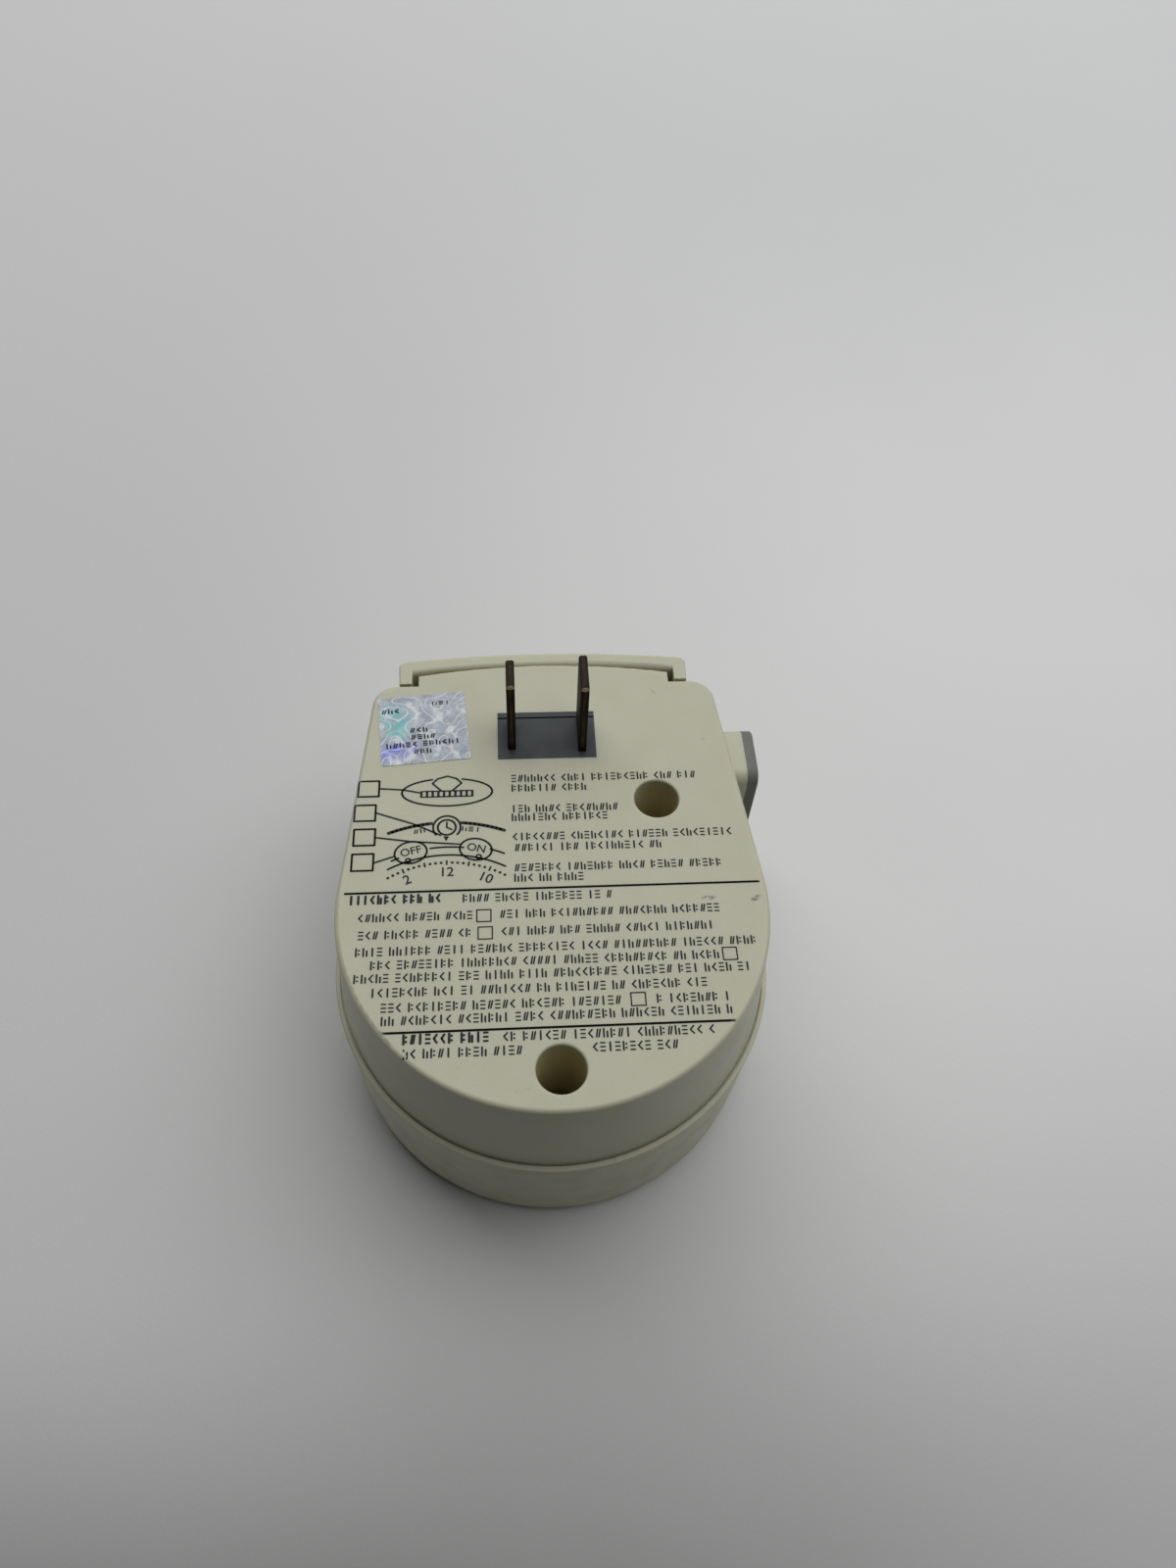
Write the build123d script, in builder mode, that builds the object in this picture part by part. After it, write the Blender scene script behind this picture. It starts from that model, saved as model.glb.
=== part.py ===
from build123d import *
from math import cos, radians, sin, tan
import os

# A 24 hour timer that plugs straight into a wall outlet.
# The origin is the middle of the rear face's blade insert, halfway between the two blades. +Z points out
# of the rear face along the blades, +Y towards the thumb wheel's end and +X towards the side outlet.
# All lengths are in millimetres and all angles in degrees.

os.makedirs("parts", exist_ok=True)

# ---- Body shells -----------------------------------------------------------------------------------
body_depth = 46.3  # rear face to the bezel ring
cover_depth = 20.7  # rear face to the parting line
bowl_radius = 36.0  # round lower end of the rear face
bowl_y = -34.7  # its centre
side_lean = 5.7  # how far each flank leans in towards the top
shoulder_y = 12.5  # square top edge of the rear face
shoulder_radius = 4.5
cover_draft = 4.0
shell_draft = 2.2
wall = 2.0
cover_edge_radius = 0.8
rim_step = 1.05  # the front shell stands out from the cover's foot
rim_rise = 0.6  # and its lip stands up round it
rim_gap = 0.35  # shadow gap between the lip and the cover
bezel_rise = 1.2  # the bezel ring stands proud of the shell's face
bezel_width = 5.2
lip_inset = 5.0  # from the bowl's radius in to the opening in the bezel
lip_gap = 1.0  # from the lip to the shoes behind it
lip_overlap = 3.0  # from the opening out to the wall of the cup that the dial turns in
cup_wall = 1.6
shell_edge_radius = 2.0

# ---- End block with the thumb recess ---------------------------------------------------------------
block_half_width = 27.4
block_root_half_width = 26.6
block_top_y = 19.85  # crown of its end wall
block_corner_y = 18.25
end_wall = 2.85
end_wall_edge_radius = 0.4
end_wall_inner_radius = 1.0
leg_thick = 2.6
leg_gap = 1.2  # between each leg and the cover's tab
tab_gap = 0.2  # between the end wall and the cover's tab
tab_corner_y = 14.7
tab_edge_radius = 0.25
recess_length = 34.0
recess_height = 10.0
recess_depth = 2.95
recess_floor_length = 26.0
recess_pad = 4.95  # the end wall is this thick behind the recess

# ---- Screws and their wells ------------------------------------------------------------------------
upper_well_place = (18.93, -14.65)
lower_well_inset = 6.8  # from the bowl's radius in to the lower well's centre
well_radius = 3.925
well_wall = 1.5
well_edge_radius = 0.4
well_floor = 2.0
well_foot = 2.0  # the wells reach this far past the parting line
post_radius = 4.0
screw_radius = 1.45
screw_head_radius = 3.2
screw_head_height = 2.3
screw_bite = 9.0  # length of thread in the post
small_screw_radius = 0.9
small_head_radius = 1.9
small_head_height = 1.3
small_screw_bite = 5.0
cross_length = 1.1  # of a screw's recess, in head radii
cross_width = 0.25

# ---- Plug blades and their insert ------------------------------------------------------------------
blade_spacing = 12.7
blade_thick = 1.5
narrow_blade_width = 6.35
wide_blade_width = 7.94
blade_length = 17.35
blade_tip_radius = 0.6
blade_tip_chamfer = 0.35
blade_tail = 2.5  # stands out of the insert's back
insert_width = 17.8
insert_height = 10.7
insert_depth = 12.0
insert_flange = 1.8
insert_flange_thick = 2.0
groove_inset = 1.3
groove_width = 0.35

# ---- Side outlet -----------------------------------------------------------------------------------
outlet_y = -0.45
outlet_face_x = 39.5
outlet_plate_thick = 2.1
outlet_width = 12.4  # across, along Y
outlet_height = 29.4  # along Z, half in each shell
outlet_corner_radius = 2.6
outlet_edge_radius = 0.5
collar_wall = 1.1
collar_root_x = 31.0
outlet_back_x = 20.0
chamber_inset = 0.9
clip_room = 5.45  # height of each clip's chamber
slot_width = 2.2
narrow_slot_length = 7.2
wide_slot_length = 8.8
clip_thick = 0.6
clip_gap = 1.2
clip_width = 6.4
clip_length = 13.5
clip_flare = 0.8

# ---- Dial and its two setting tabs -----------------------------------------------------------------
dial_recess = 0.8  # dial face below the bezel
track_width = 7.0  # between the dial face and the lip
dial_face_thick = 1.0
face_overhang = 1.4  # the dial face stands out round the core
track_floor = 7.2  # depth of the tabs' track below the bezel
flange_gap = 1.6  # from the flange to the cup's wall
flange_thick = 1.0
cup_gap = 0.8
dial_shaft_radius = 2.0
dial_shaft_length = 15.2
shaft_chamfer = 0.3
hub_radius = 4.0
shoe_gap = 0.3  # round each shoe in its track
shoe_span = 21.0
lug_span = 5.0
lug_height = 2.0
tab_length = 8.6
tab_side_gap = 0.8  # each side of a tab, between the dial face and the lip
tab_head_thick = 1.4
tab_recess = 0.6
tab_travel = 0.8
stem_radius = 1.1
stem_flange_radius = 1.7
stem_flange_thick = 0.35
spring_pocket_radius = 1.9
spring_pocket_depth = 1.4
tab_spring_radius = 1.5
tab_spring_wire = 0.15
on_tab_angle = 135.0
off_tab_angle = 45.0
running_gap = 0.05  # radial clearance of a shaft in its hole
emblem_radius = 2.8
emblem_inset = 0.3  # its centre inside the bezel ring's edge
emblem_recess = 0.2

# ---- Gear train ------------------------------------------------------------------------------------
dial_teeth = 60
first_pinion_teeth = 12
first_wheel_teeth = 40
second_pinion_teeth = 10
second_wheel_teeth = 40
motor_pinion_teeth = 10
dial_tooth_size = 0.7  # pitch diameter per tooth
first_tooth_size = 0.6
second_tooth_size = 0.5
first_direction = 120.0  # from the dial's centre to the first gear
second_direction = 250.0  # from the first gear to the second
motor_direction = 290.0  # from the second gear to the motor
gear_thick = 2.0
thin_gear_thick = 1.4
gear_gap = 0.6
dial_gear_dish = 1.0
washer_thick = 0.5
ring_thick = 0.8
ring_radius = 3.2
ring_groove_radius = 1.5
train_pin_radius = 0.75
pin_seat = 1.0
# a tooth's depths and half widths, in tooth sizes
tooth_root = 1.25
tooth_tip = 0.9
tooth_root_half = 1.05
tooth_tip_half = 0.34
tooth_sink = 0.2  # each tooth starts this far inside the root circle

# ---- Override wheel, switch cam and trip star ------------------------------------------------------
wheel_inset = 0.55  # the wheel's rim below the end wall's crown
wheel_thick = 3.0
wheel_dish = 0.75
wheel_back = 0.8  # gap between the dial cup's floor and the wheel
knurl_count = 72
knurl_depth = 0.45
star_radius = 4.5
star_root_radius = 3.1
star_tip_half = 0.3
star_points = 8
sleeve_radius = 2.4
override_pin_radius = 1.0
cam_lobe_radius = 7.0
cam_valley_radius = 5.2
cam_lobes = 4
cam_thick = 4.0

# ---- Mechanism plate, motor and switch -------------------------------------------------------------
plate_thick = 1.6
plate_pad_radius = 3.4
gear_hub_radius = 1.4
plate_post_radius = 2.6
cup_post_places = [(-28.0, -49.0), (12.0, -11.0)]
face_post_places = [(-28.5, -6.0), (-19.5, 9.5)]
motor_radius = 15.0
motor_head_room = 6.4  # between the motor and the cover
motor_plate_thick = 1.0
motor_wall = 0.8
motor_ear_reach = 17.6
motor_ear_radius = 3.0
motor_ear_direction = 60.0
motor_shaft_radius = 1.0
rotor_radius = 6.8
bobbin_radius = 7.6
bobbin_wall = 0.7
coil_radius = 13.2
lead_radius = 0.7
lead_bend = 2.0
motor_screw_end = 1.0  # past the plate
contact_rise = 4.2  # above the wheel's centre, along Y
contact_radius = 1.4
contact_thick = 1.0
part_gap = 0.3  # between pieces that move past each other
leaf_thick = 0.4
leaf_width = 3.6
leaf_end = 2.0  # past the contacts
strip_thick = 0.8
strip_width = 3.0
lever_width = 2.2
lever_nose_radius = 1.0
lever_nose_reach = 2.0
lever_boss_radius = 2.0
lever_pin_radius = 0.7
lever_pin_x = -8.6
lever_pin_drop = 11.8  # below the wheel's centre
contact_block_length = 4.0
contact_block_drop = 12.8
contact_block_wall = 0.8
detent_thick = 0.4
detent_foot = 4.0
detent_low = 7.6  # reach of its straight arm below the wheel's centre
detent_high = 3.8

# ---- Label -----------------------------------------------------------------------------------------
label_width = 15.9
label_height = 15.6
label_place = (-22.35, 2.15)
label_turn = 5.1
label_thick = 0.1

# ---- Levels and places worked out from the sizes above ---------------------------------------------
front_z = -body_depth
parting_z = -cover_depth
shell_z = front_z + bezel_rise
shell_floor_z = shell_z + wall
dial_face_z = front_z + dial_recess
track_floor_z = front_z + track_floor
core_z = dial_face_z + dial_face_thick
dial_back_z = track_floor_z + flange_thick
cup_front_z = dial_back_z + cup_gap
cup_back_z = cup_front_z + cup_wall
dial_gear_z = cup_back_z + gear_gap
washer_z = dial_gear_z + gear_thick
ring_z = washer_z + washer_thick
post_top_z = parting_z - well_foot
well_floor_z = post_top_z + well_floor
dial_place = (0, bowl_y)
well_places = [upper_well_place, (0, bowl_y - bowl_radius + lower_well_inset)]
lip_radius = bowl_radius - lip_inset
cup_radius = lip_radius + lip_overlap
lug_radius = cup_radius - part_gap
wheel_y = bowl_y + lug_radius + part_gap + star_radius
wheel_place = (0, wheel_y)
lever_pin_place = (lever_pin_x, wheel_y - lever_pin_drop)
contact_y = wheel_y + contact_rise
contact_block_y = wheel_y - contact_block_drop
emblem_place = (0, bowl_y + lip_radius + bezel_width - emblem_inset)

cover_grow = cover_depth * tan(radians(cover_draft))
bezel_radius = lip_radius + bezel_width
dial_face_radius = lip_radius - track_width
core_radius = dial_face_radius - face_overhang
flange_radius = cup_radius - flange_gap
wheel_radius = block_top_y - wheel_inset - wheel_y
tab_half_width = block_half_width - leg_thick - leg_gap
tab_top_y = block_top_y - end_wall - tab_gap

wheel_z = cup_back_z + wheel_back
wheel_top_z = wheel_z + wheel_thick
recess_z = wheel_z + wheel_thick / 2
first_wheel_z = wheel_top_z + gear_gap
second_wheel_z = first_wheel_z + thin_gear_thick + gear_gap
cam_z = first_wheel_z + thin_gear_thick + gear_gap
cam_top_z = cam_z + cam_thick
plate_z = cam_top_z + part_gap
plate_back_z = plate_z + plate_thick
hub_top_z = plate_z - running_gap

tab_front_z = front_z + tab_recess
tab_back_z = tab_front_z + tab_head_thick
shoe_front_z = tab_back_z + tab_travel + 2 * part_gap
lip_back_z = shoe_front_z - lip_gap
shoe_back_z = track_floor_z - shoe_gap
shoe_inner_radius = core_radius + shoe_gap
shoe_outer_radius = flange_radius - running_gap
track_radius = (dial_face_radius + lip_radius) / 2
tab_width = track_width - 2 * tab_side_gap
lug_z = shoe_front_z + (shoe_back_z - shoe_front_z - lug_height) / 2
pocket_floor_z = shoe_front_z + spring_pocket_depth
stem_end_z = shoe_back_z - lug_height / 2

motor_z = plate_back_z + motor_plate_thick
motor_top_z = -wall - motor_head_room
motor_height = motor_top_z - motor_z
lever_z = cam_z + (cam_top_z - cam_z - leaf_width) / 2
lever_face_x = -cam_lobe_radius - part_gap - lever_nose_reach
leaf_x = lever_face_x - lever_width - part_gap  # the leaf's face towards the cam
moving_contact_x = leaf_x - leaf_thick
fixed_contact_x = moving_contact_x - contact_thick - part_gap
line_strip_x = fixed_contact_x - contact_thick
load_strip_x = leaf_x - leaf_thick / 2 + strip_thick / 2
leaf_root_y = contact_block_y + contact_block_length / 2
contact_block_x = (load_strip_x + line_strip_x - strip_thick) / 2
contact_block_width = load_strip_x - line_strip_x + strip_thick + 2 * contact_block_wall

insert_back_z = -insert_depth
tail_z = insert_back_z - blade_tail
slot_offset = blade_spacing / 2
outlet_plate_x = outlet_face_x - outlet_plate_thick
chamber_width = outlet_width - 2 * collar_wall
chamber_length = outlet_height - 2 * collar_wall
clip_x = outlet_back_x - clip_thick
plate_posts = cup_post_places + face_post_places


def away(place, distance, direction):
    """The point at a distance from a place in a direction."""
    turn = radians(direction)
    return (place[0] + distance * cos(turn), place[1] + distance * sin(turn))


first_place = away(dial_place, dial_tooth_size * (dial_teeth + first_pinion_teeth) / 2, first_direction)
second_place = away(
    first_place,
    first_tooth_size * (first_wheel_teeth + second_pinion_teeth) / 2,
    second_direction,
)
motor_place = away(
    second_place,
    second_tooth_size * (second_wheel_teeth + motor_pinion_teeth) / 2,
    motor_direction,
)
motor_ear_places = [away(motor_place, motor_ear_reach, motor_ear_direction + turn) for turn in (0, 180)]


# ---- Shared outlines -------------------------------------------------------------------------------
def shell_grow(level):
    """How much larger than the rear face the front shell is at a level."""
    return cover_grow + rim_step - (parting_z - level) * tan(radians(shell_draft))


def shell_outline(level, grow):
    """The body's outline, round below with flanks that lean in to two shoulders, grown all round."""
    radius = bowl_radius + grow
    top_y = shoulder_y + grow
    side_x = radius * cos(radians(side_lean))
    side_y = bowl_y + radius * sin(radians(side_lean))
    corner_x = side_x - (top_y - side_y) * tan(radians(side_lean))
    with BuildSketch(Plane.XY.offset(level)) as outline:
        with BuildLine():
            Line((corner_x, top_y), (-corner_x, top_y))
            Line((-corner_x, top_y), (-side_x, side_y))
            ThreePointArc((-side_x, side_y), (0, bowl_y - radius), (side_x, side_y))
            Line((side_x, side_y), (corner_x, top_y))
        make_face()
        fillet(outline.vertices().group_by(Axis.Y)[-1], shoulder_radius + grow)
    return outline.sketch


def crowned_outline(level, root_half_width, half_width, root_y, corner_y, top_y):
    """A flat bottomed outline with straight sides under a shallow crown."""
    with BuildSketch(Plane.XY.offset(level)) as outline:
        with BuildLine():
            Line((-root_half_width, root_y), (root_half_width, root_y))
            Line((root_half_width, root_y), (half_width, corner_y))
            ThreePointArc((half_width, corner_y), (0, top_y), (-half_width, corner_y))
            Line((-half_width, corner_y), (-root_half_width, root_y))
        make_face()
    return outline.sketch


def disc(level, places, radius):
    """A round outline at each place."""
    with BuildSketch(Plane.XY.offset(level)) as outline:
        with Locations(*places):
            Circle(radius)
    return outline.sketch


def ring_sector(level, inner, outer, middle, span):
    """Part of a ring about the dial's centre."""
    start = middle - span / 2
    with BuildSketch(Plane.XY.offset(level)) as outline:
        with BuildLine():
            inside = CenterArc(dial_place, inner, start, span)
            outside = CenterArc(dial_place, outer, start, span)
            Line(inside @ 0, outside @ 0)
            Line(inside @ 1, outside @ 1)
        make_face()
    return outline.sketch


def gear_outline(level, place, teeth, tooth_size, tooth_angle, bore):
    """A spur gear with straight-flanked teeth, one of them at tooth_angle."""
    pitch_radius = tooth_size * teeth / 2
    root, tip = -tooth_root * tooth_size, tooth_tip * tooth_size
    root_half, tip_half = tooth_root_half * tooth_size, tooth_tip_half * tooth_size
    with BuildSketch(Plane.XY.offset(level)) as outline:
        with Locations(place):
            Circle(pitch_radius + root)
            with PolarLocations(pitch_radius, teeth, tooth_angle):
                Polygon(
                    (root - tooth_sink, -root_half),
                    (tip, -tip_half),
                    (tip, tip_half),
                    (root - tooth_sink, root_half),
                    align=None,
                )
            Circle(bore, mode=Mode.SUBTRACT)
    return outline.sketch


def meshing_angle(direction, teeth):
    """Turns a driven pinion so that a gap faces back along the line of centres."""
    return direction + 180 + 180 / teeth


def outlet_outline(level, width, height, middle_z):
    """A rectangle across the side outlet, on a plane across X."""
    with BuildSketch(Plane.YZ.offset(level)) as outline:
        with Locations((outlet_y, middle_z)):
            Rectangle(width, height)
    return outline.sketch


def collar_outline(side):
    """Half of the side outlet's rounded outline: the rear half for side 1, the front half for -1."""
    with BuildSketch(Plane.YZ.offset(collar_root_x)) as outline:
        with Locations((outlet_y, parting_z)):
            RectangleRounded(outlet_width, outlet_height, outlet_corner_radius)
        with Locations((outlet_y, parting_z + side * outlet_height / 4)):
            Rectangle(outlet_width, outlet_height / 2, mode=Mode.INTERSECT)
    return outline.sketch


def finish(piece, name):
    """Labels a piece and writes its file."""
    piece.part.label = name
    export_step(piece.part, f"parts/{name}.step")


# ---- Rear cover ------------------------------------------------------------------------------------
with BuildPart() as cover_tab:
    extrude(
        crowned_outline(
            parting_z, tab_half_width, tab_half_width, shoulder_y - wall, tab_corner_y, tab_top_y
        ),
        amount=cover_depth,
    )
    fillet(cover_tab.faces().sort_by(Axis.Z)[-1].edges().sort_by(Axis.Y)[1:], tab_edge_radius)

with BuildPart() as rear_cover:
    extrude(shell_outline(parting_z, cover_grow), amount=cover_depth, taper=cover_draft)
    fillet(rear_cover.edges().group_by(Axis.Z)[-1], cover_edge_radius)
    add(cover_tab.part)
    extrude(
        shell_outline(parting_z, cover_grow - wall),
        amount=cover_depth - wall,
        taper=cover_draft,
        mode=Mode.SUBTRACT,
    )
    hollow_half_width = tab_half_width - wall
    extrude(
        crowned_outline(
            parting_z, hollow_half_width, hollow_half_width, 0, tab_corner_y - wall, tab_top_y - wall
        ),
        amount=cover_depth - wall,
        mode=Mode.SUBTRACT,
    )
    # collar round the side outlet, rear half
    extrude(collar_outline(1), amount=outlet_plate_x - collar_root_x)
    extrude(
        outlet_outline(outlet_back_x, chamber_width, chamber_length, parting_z),
        amount=outlet_face_x - outlet_back_x,
        mode=Mode.SUBTRACT,
    )
    # mouths of the screw wells, and room for their tubes beside the wall
    extrude(
        disc(post_top_z, well_places, well_radius + well_wall),
        amount=-wall - post_top_z,
        mode=Mode.SUBTRACT,
    )
    extrude(disc(-wall, well_places, well_radius), amount=wall, mode=Mode.SUBTRACT)
    mouths = rear_cover.edges().filter_by(GeomType.CIRCLE).group_by(Axis.Z)[-1]
    fillet(mouths.filter_by(lambda edge: abs(edge.radius - well_radius) < running_gap), well_edge_radius)
    # window for the blade insert
    with BuildSketch():
        Rectangle(insert_width, insert_height)
    extrude(amount=-wall, mode=Mode.SUBTRACT)
finish(rear_cover, "rear_cover")

# the two deep tubes behind its face, moulded with it, that the housing screws go down
with BuildPart() as screw_wells:
    extrude(disc(post_top_z, well_places, well_radius + well_wall), amount=-wall - post_top_z)
    extrude(disc(well_floor_z, well_places, well_radius), amount=cover_depth, mode=Mode.SUBTRACT)
    extrude(
        disc(post_top_z, well_places, screw_radius + 2 * running_gap),
        amount=cover_depth,
        mode=Mode.SUBTRACT,
    )
finish(screw_wells, "screw_wells")

# ---- Front housing ---------------------------------------------------------------------------------
# its end block, from the shell's face to the rear face
with BuildPart() as end_block:
    extrude(
        crowned_outline(shell_z, block_root_half_width, block_half_width, 0, block_corner_y, block_top_y),
        amount=-shell_z,
    )
    fillet(end_block.edges().filter_by(Axis.Z).group_by(Axis.Y)[-1], end_wall / 2)
    fillet(end_block.faces().sort_by(Axis.Z)[0].edges().sort_by(Axis.Y)[1:], end_wall / 2)
    fillet(end_block.faces().sort_by(Axis.Z)[-1].edges().sort_by(Axis.Y)[1:], end_wall_edge_radius)

with BuildPart() as front_housing:
    extrude(
        shell_outline(shell_z, shell_grow(shell_z)),
        amount=parting_z + rim_rise - shell_z,
        taper=-shell_draft,
    )
    fillet(front_housing.edges().group_by(Axis.Z)[0], shell_edge_radius)
    fillet(front_housing.edges().group_by(Axis.Z)[-1], rim_rise / 2)
    add(end_block.part)
    # bezel ring
    extrude(disc(front_z, [dial_place], bezel_radius), amount=bezel_rise + wall)
    chamfer(front_housing.edges().group_by(Axis.Z)[0], bezel_rise / 4)
    # hollow, and room for the rear cover
    extrude(
        shell_outline(shell_floor_z, shell_grow(shell_floor_z) - wall),
        amount=parting_z - shell_floor_z,
        taper=-shell_draft,
        mode=Mode.SUBTRACT,
    )
    extrude(
        shell_outline(parting_z, cover_grow + rim_gap), amount=cover_depth + wall, taper=cover_draft,
        mode=Mode.SUBTRACT,
    )
    extrude(
        crowned_outline(
            shell_floor_z,
            block_half_width - leg_thick,
            block_half_width - leg_thick,
            0,
            block_corner_y - end_wall,
            block_top_y - end_wall,
        ),
        amount=body_depth,
        mode=Mode.SUBTRACT,
    )
    face_edges = front_housing.edges().group_by(Axis.Z)[-1]
    fillet(face_edges.sort_by_distance((0, block_top_y - end_wall, 0))[0], end_wall_inner_radius)
    # cup that the dial turns in
    extrude(disc(shell_z, [dial_place], cup_radius + cup_wall), amount=cup_back_z - shell_z)
    extrude(disc(lip_back_z, [dial_place], cup_radius), amount=cup_front_z - lip_back_z, mode=Mode.SUBTRACT)
    extrude(disc(front_z, [dial_place], lip_radius), amount=lip_back_z - front_z, mode=Mode.SUBTRACT)
    extrude(disc(cup_front_z, [dial_place], hub_radius + cup_wall), amount=cup_wall + gear_gap / 2)
    extrude(
        disc(cup_front_z, [dial_place], dial_shaft_radius + running_gap),
        amount=body_depth,
        mode=Mode.SUBTRACT,
    )
    # way through the cup for the trip star
    extrude(
        disc(shell_floor_z, [wheel_place], star_radius + cup_gap), amount=cup_back_z - shell_floor_z,
        mode=Mode.SUBTRACT,
    )
    # posts for the mechanism plate and the two housing screws
    extrude(disc(cup_back_z, cup_post_places, plate_post_radius), amount=plate_z - cup_back_z)
    extrude(disc(shell_floor_z, face_post_places, plate_post_radius), amount=plate_z - shell_floor_z)
    extrude(
        disc(plate_z - small_screw_bite, plate_posts, small_screw_radius),
        amount=body_depth,
        mode=Mode.SUBTRACT,
    )
    extrude(disc(cup_back_z, well_places, post_radius), amount=post_top_z - cup_back_z)
    extrude(disc(post_top_z - screw_bite, well_places, screw_radius), amount=body_depth, mode=Mode.SUBTRACT)
    # seats for the gear pins and the override pin
    extrude(
        disc(cup_back_z - pin_seat, [first_place], train_pin_radius),
        amount=body_depth,
        mode=Mode.SUBTRACT,
    )
    extrude(
        disc(shell_floor_z - pin_seat, [wheel_place], override_pin_radius),
        amount=body_depth,
        mode=Mode.SUBTRACT,
    )
    # pocket in the bezel ring for the clock emblem
    extrude(disc(front_z, [emblem_place], emblem_radius), amount=bezel_rise, mode=Mode.SUBTRACT)
    # collar round the side outlet, front half, open towards the cover's half
    extrude(collar_outline(-1), amount=outlet_plate_x - collar_root_x)
    extrude(
        outlet_outline(outlet_back_x, chamber_width, chamber_length, parting_z),
        amount=outlet_face_x - outlet_back_x,
        mode=Mode.SUBTRACT,
    )
    extrude(
        outlet_outline(
            outlet_back_x, outlet_width + 2 * tab_gap, outlet_height / 2, parting_z + outlet_height / 4
        ),
        amount=outlet_face_x - outlet_back_x,
        mode=Mode.SUBTRACT,
    )
    # pad, oval thumb recess and slot for the override wheel
    with BuildSketch(Plane.XZ.offset(recess_pad - block_top_y)):
        with Locations((0, recess_z)):
            Rectangle(recess_length + wall, recess_height + wall)
    extrude(amount=end_wall - recess_pad)
    with BuildSketch(Plane.XZ.offset(-block_top_y)):
        with Locations((0, recess_z)):
            Ellipse(recess_length / 2, recess_height / 2)
    with BuildSketch(Plane.XZ.offset(recess_depth - block_top_y)):
        with Locations((0, recess_z)):
            Ellipse(recess_floor_length / 2, wheel_thick / 2 + gear_gap)
    loft(mode=Mode.SUBTRACT)
    extrude(
        disc(wheel_z - gear_gap / 2, [wheel_place], wheel_radius + gear_gap),
        amount=wheel_thick + gear_gap,
        mode=Mode.SUBTRACT,
    )
finish(front_housing, "front_housing")

# ---- Plug blades and their insert ------------------------------------------------------------------
with BuildPart() as blade_carrier:
    with BuildSketch():
        Rectangle(insert_width, insert_height)
    extrude(amount=insert_back_z)
    with BuildSketch(Plane.XY.offset(-wall)):
        Rectangle(insert_width + 2 * insert_flange, insert_height + 2 * insert_flange)
    extrude(amount=-insert_flange_thick)
    with BuildSketch():
        with Locations((0, insert_height / 2 - groove_inset)):
            Rectangle(insert_width, groove_width)
    extrude(amount=-groove_width, mode=Mode.SUBTRACT)
    with BuildSketch():
        with Locations((-slot_offset, 0)):
            Rectangle(blade_thick, narrow_blade_width)
        with Locations((slot_offset, 0)):
            Rectangle(blade_thick, wide_blade_width)
    extrude(amount=insert_back_z, mode=Mode.SUBTRACT)
finish(blade_carrier, "blade_carrier")


def blade(side, width):
    """A flat blade with a rounded, bevelled tip, standing through the insert."""
    with BuildPart() as strip:
        with BuildSketch(Plane.YZ.offset(side * slot_offset - blade_thick / 2)):
            with Locations((0, (tail_z + blade_length) / 2)):
                Rectangle(width, blade_length - tail_z)
        extrude(amount=blade_thick)
        fillet(strip.edges().filter_by(Axis.X).group_by(Axis.Z)[-1], blade_tip_radius)
        chamfer(strip.edges().group_by(Axis.Z)[-1].filter_by(Axis.Y), blade_tip_chamfer)
    return strip


finish(blade(-1, narrow_blade_width), "narrow_blade")
finish(blade(1, wide_blade_width), "wide_blade")

# ---- Side outlet -----------------------------------------------------------------------------------
outlet_slots = [(parting_z + slot_offset, wide_slot_length), (parting_z - slot_offset, narrow_slot_length)]

with BuildPart() as outlet_block:
    extrude(
        outlet_outline(outlet_back_x, chamber_width, chamber_length, parting_z),
        amount=outlet_plate_x - outlet_back_x,
    )
    with BuildSketch(Plane.YZ.offset(outlet_plate_x)):
        with Locations((outlet_y, parting_z)):
            RectangleRounded(outlet_width, outlet_height, outlet_corner_radius)
    extrude(amount=outlet_plate_thick)
    fillet(outlet_block.faces().sort_by(Axis.X)[-1].edges(), outlet_edge_radius)
    for slot_z, slot_length in outlet_slots:
        extrude(
            outlet_outline(outlet_back_x, chamber_width - 2 * chamber_inset, clip_room, slot_z),
            amount=outlet_plate_x - wall - outlet_back_x,
            mode=Mode.SUBTRACT,
        )
        extrude(
            outlet_outline(outlet_back_x, slot_length, slot_width, slot_z),
            amount=outlet_face_x - outlet_back_x,
            mode=Mode.SUBTRACT,
        )
finish(outlet_block, "outlet_block")


def outlet_clip(slot_z):
    """A folded spring clip whose two leaves grip a blade, with its mouth flared towards the slot."""
    half_gap = clip_gap / 2
    mouth_x = outlet_back_x + clip_length
    flare_x = mouth_x + clip_flare + clip_thick
    with BuildPart() as clip:
        with BuildSketch(Plane.XZ.offset(-outlet_y - clip_width / 2)):
            with BuildLine():
                Polyline(
                    (clip_x, slot_z - half_gap - clip_thick),
                    (mouth_x, slot_z - half_gap - clip_thick),
                    (flare_x, slot_z - half_gap - clip_thick - clip_flare),
                    (flare_x, slot_z - half_gap - clip_flare),
                    (mouth_x, slot_z - half_gap),
                    (outlet_back_x, slot_z - half_gap),
                    (outlet_back_x, slot_z + half_gap),
                    (mouth_x, slot_z + half_gap),
                    (flare_x, slot_z + half_gap + clip_flare),
                    (flare_x, slot_z + half_gap + clip_thick + clip_flare),
                    (mouth_x, slot_z + half_gap + clip_thick),
                    (clip_x, slot_z + half_gap + clip_thick),
                    close=True,
                )
            make_face()
        extrude(amount=clip_width)
    return clip


finish(outlet_clip(outlet_slots[0][0]), "neutral_outlet_clip")
finish(outlet_clip(outlet_slots[1][0]), "line_outlet_clip")

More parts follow.
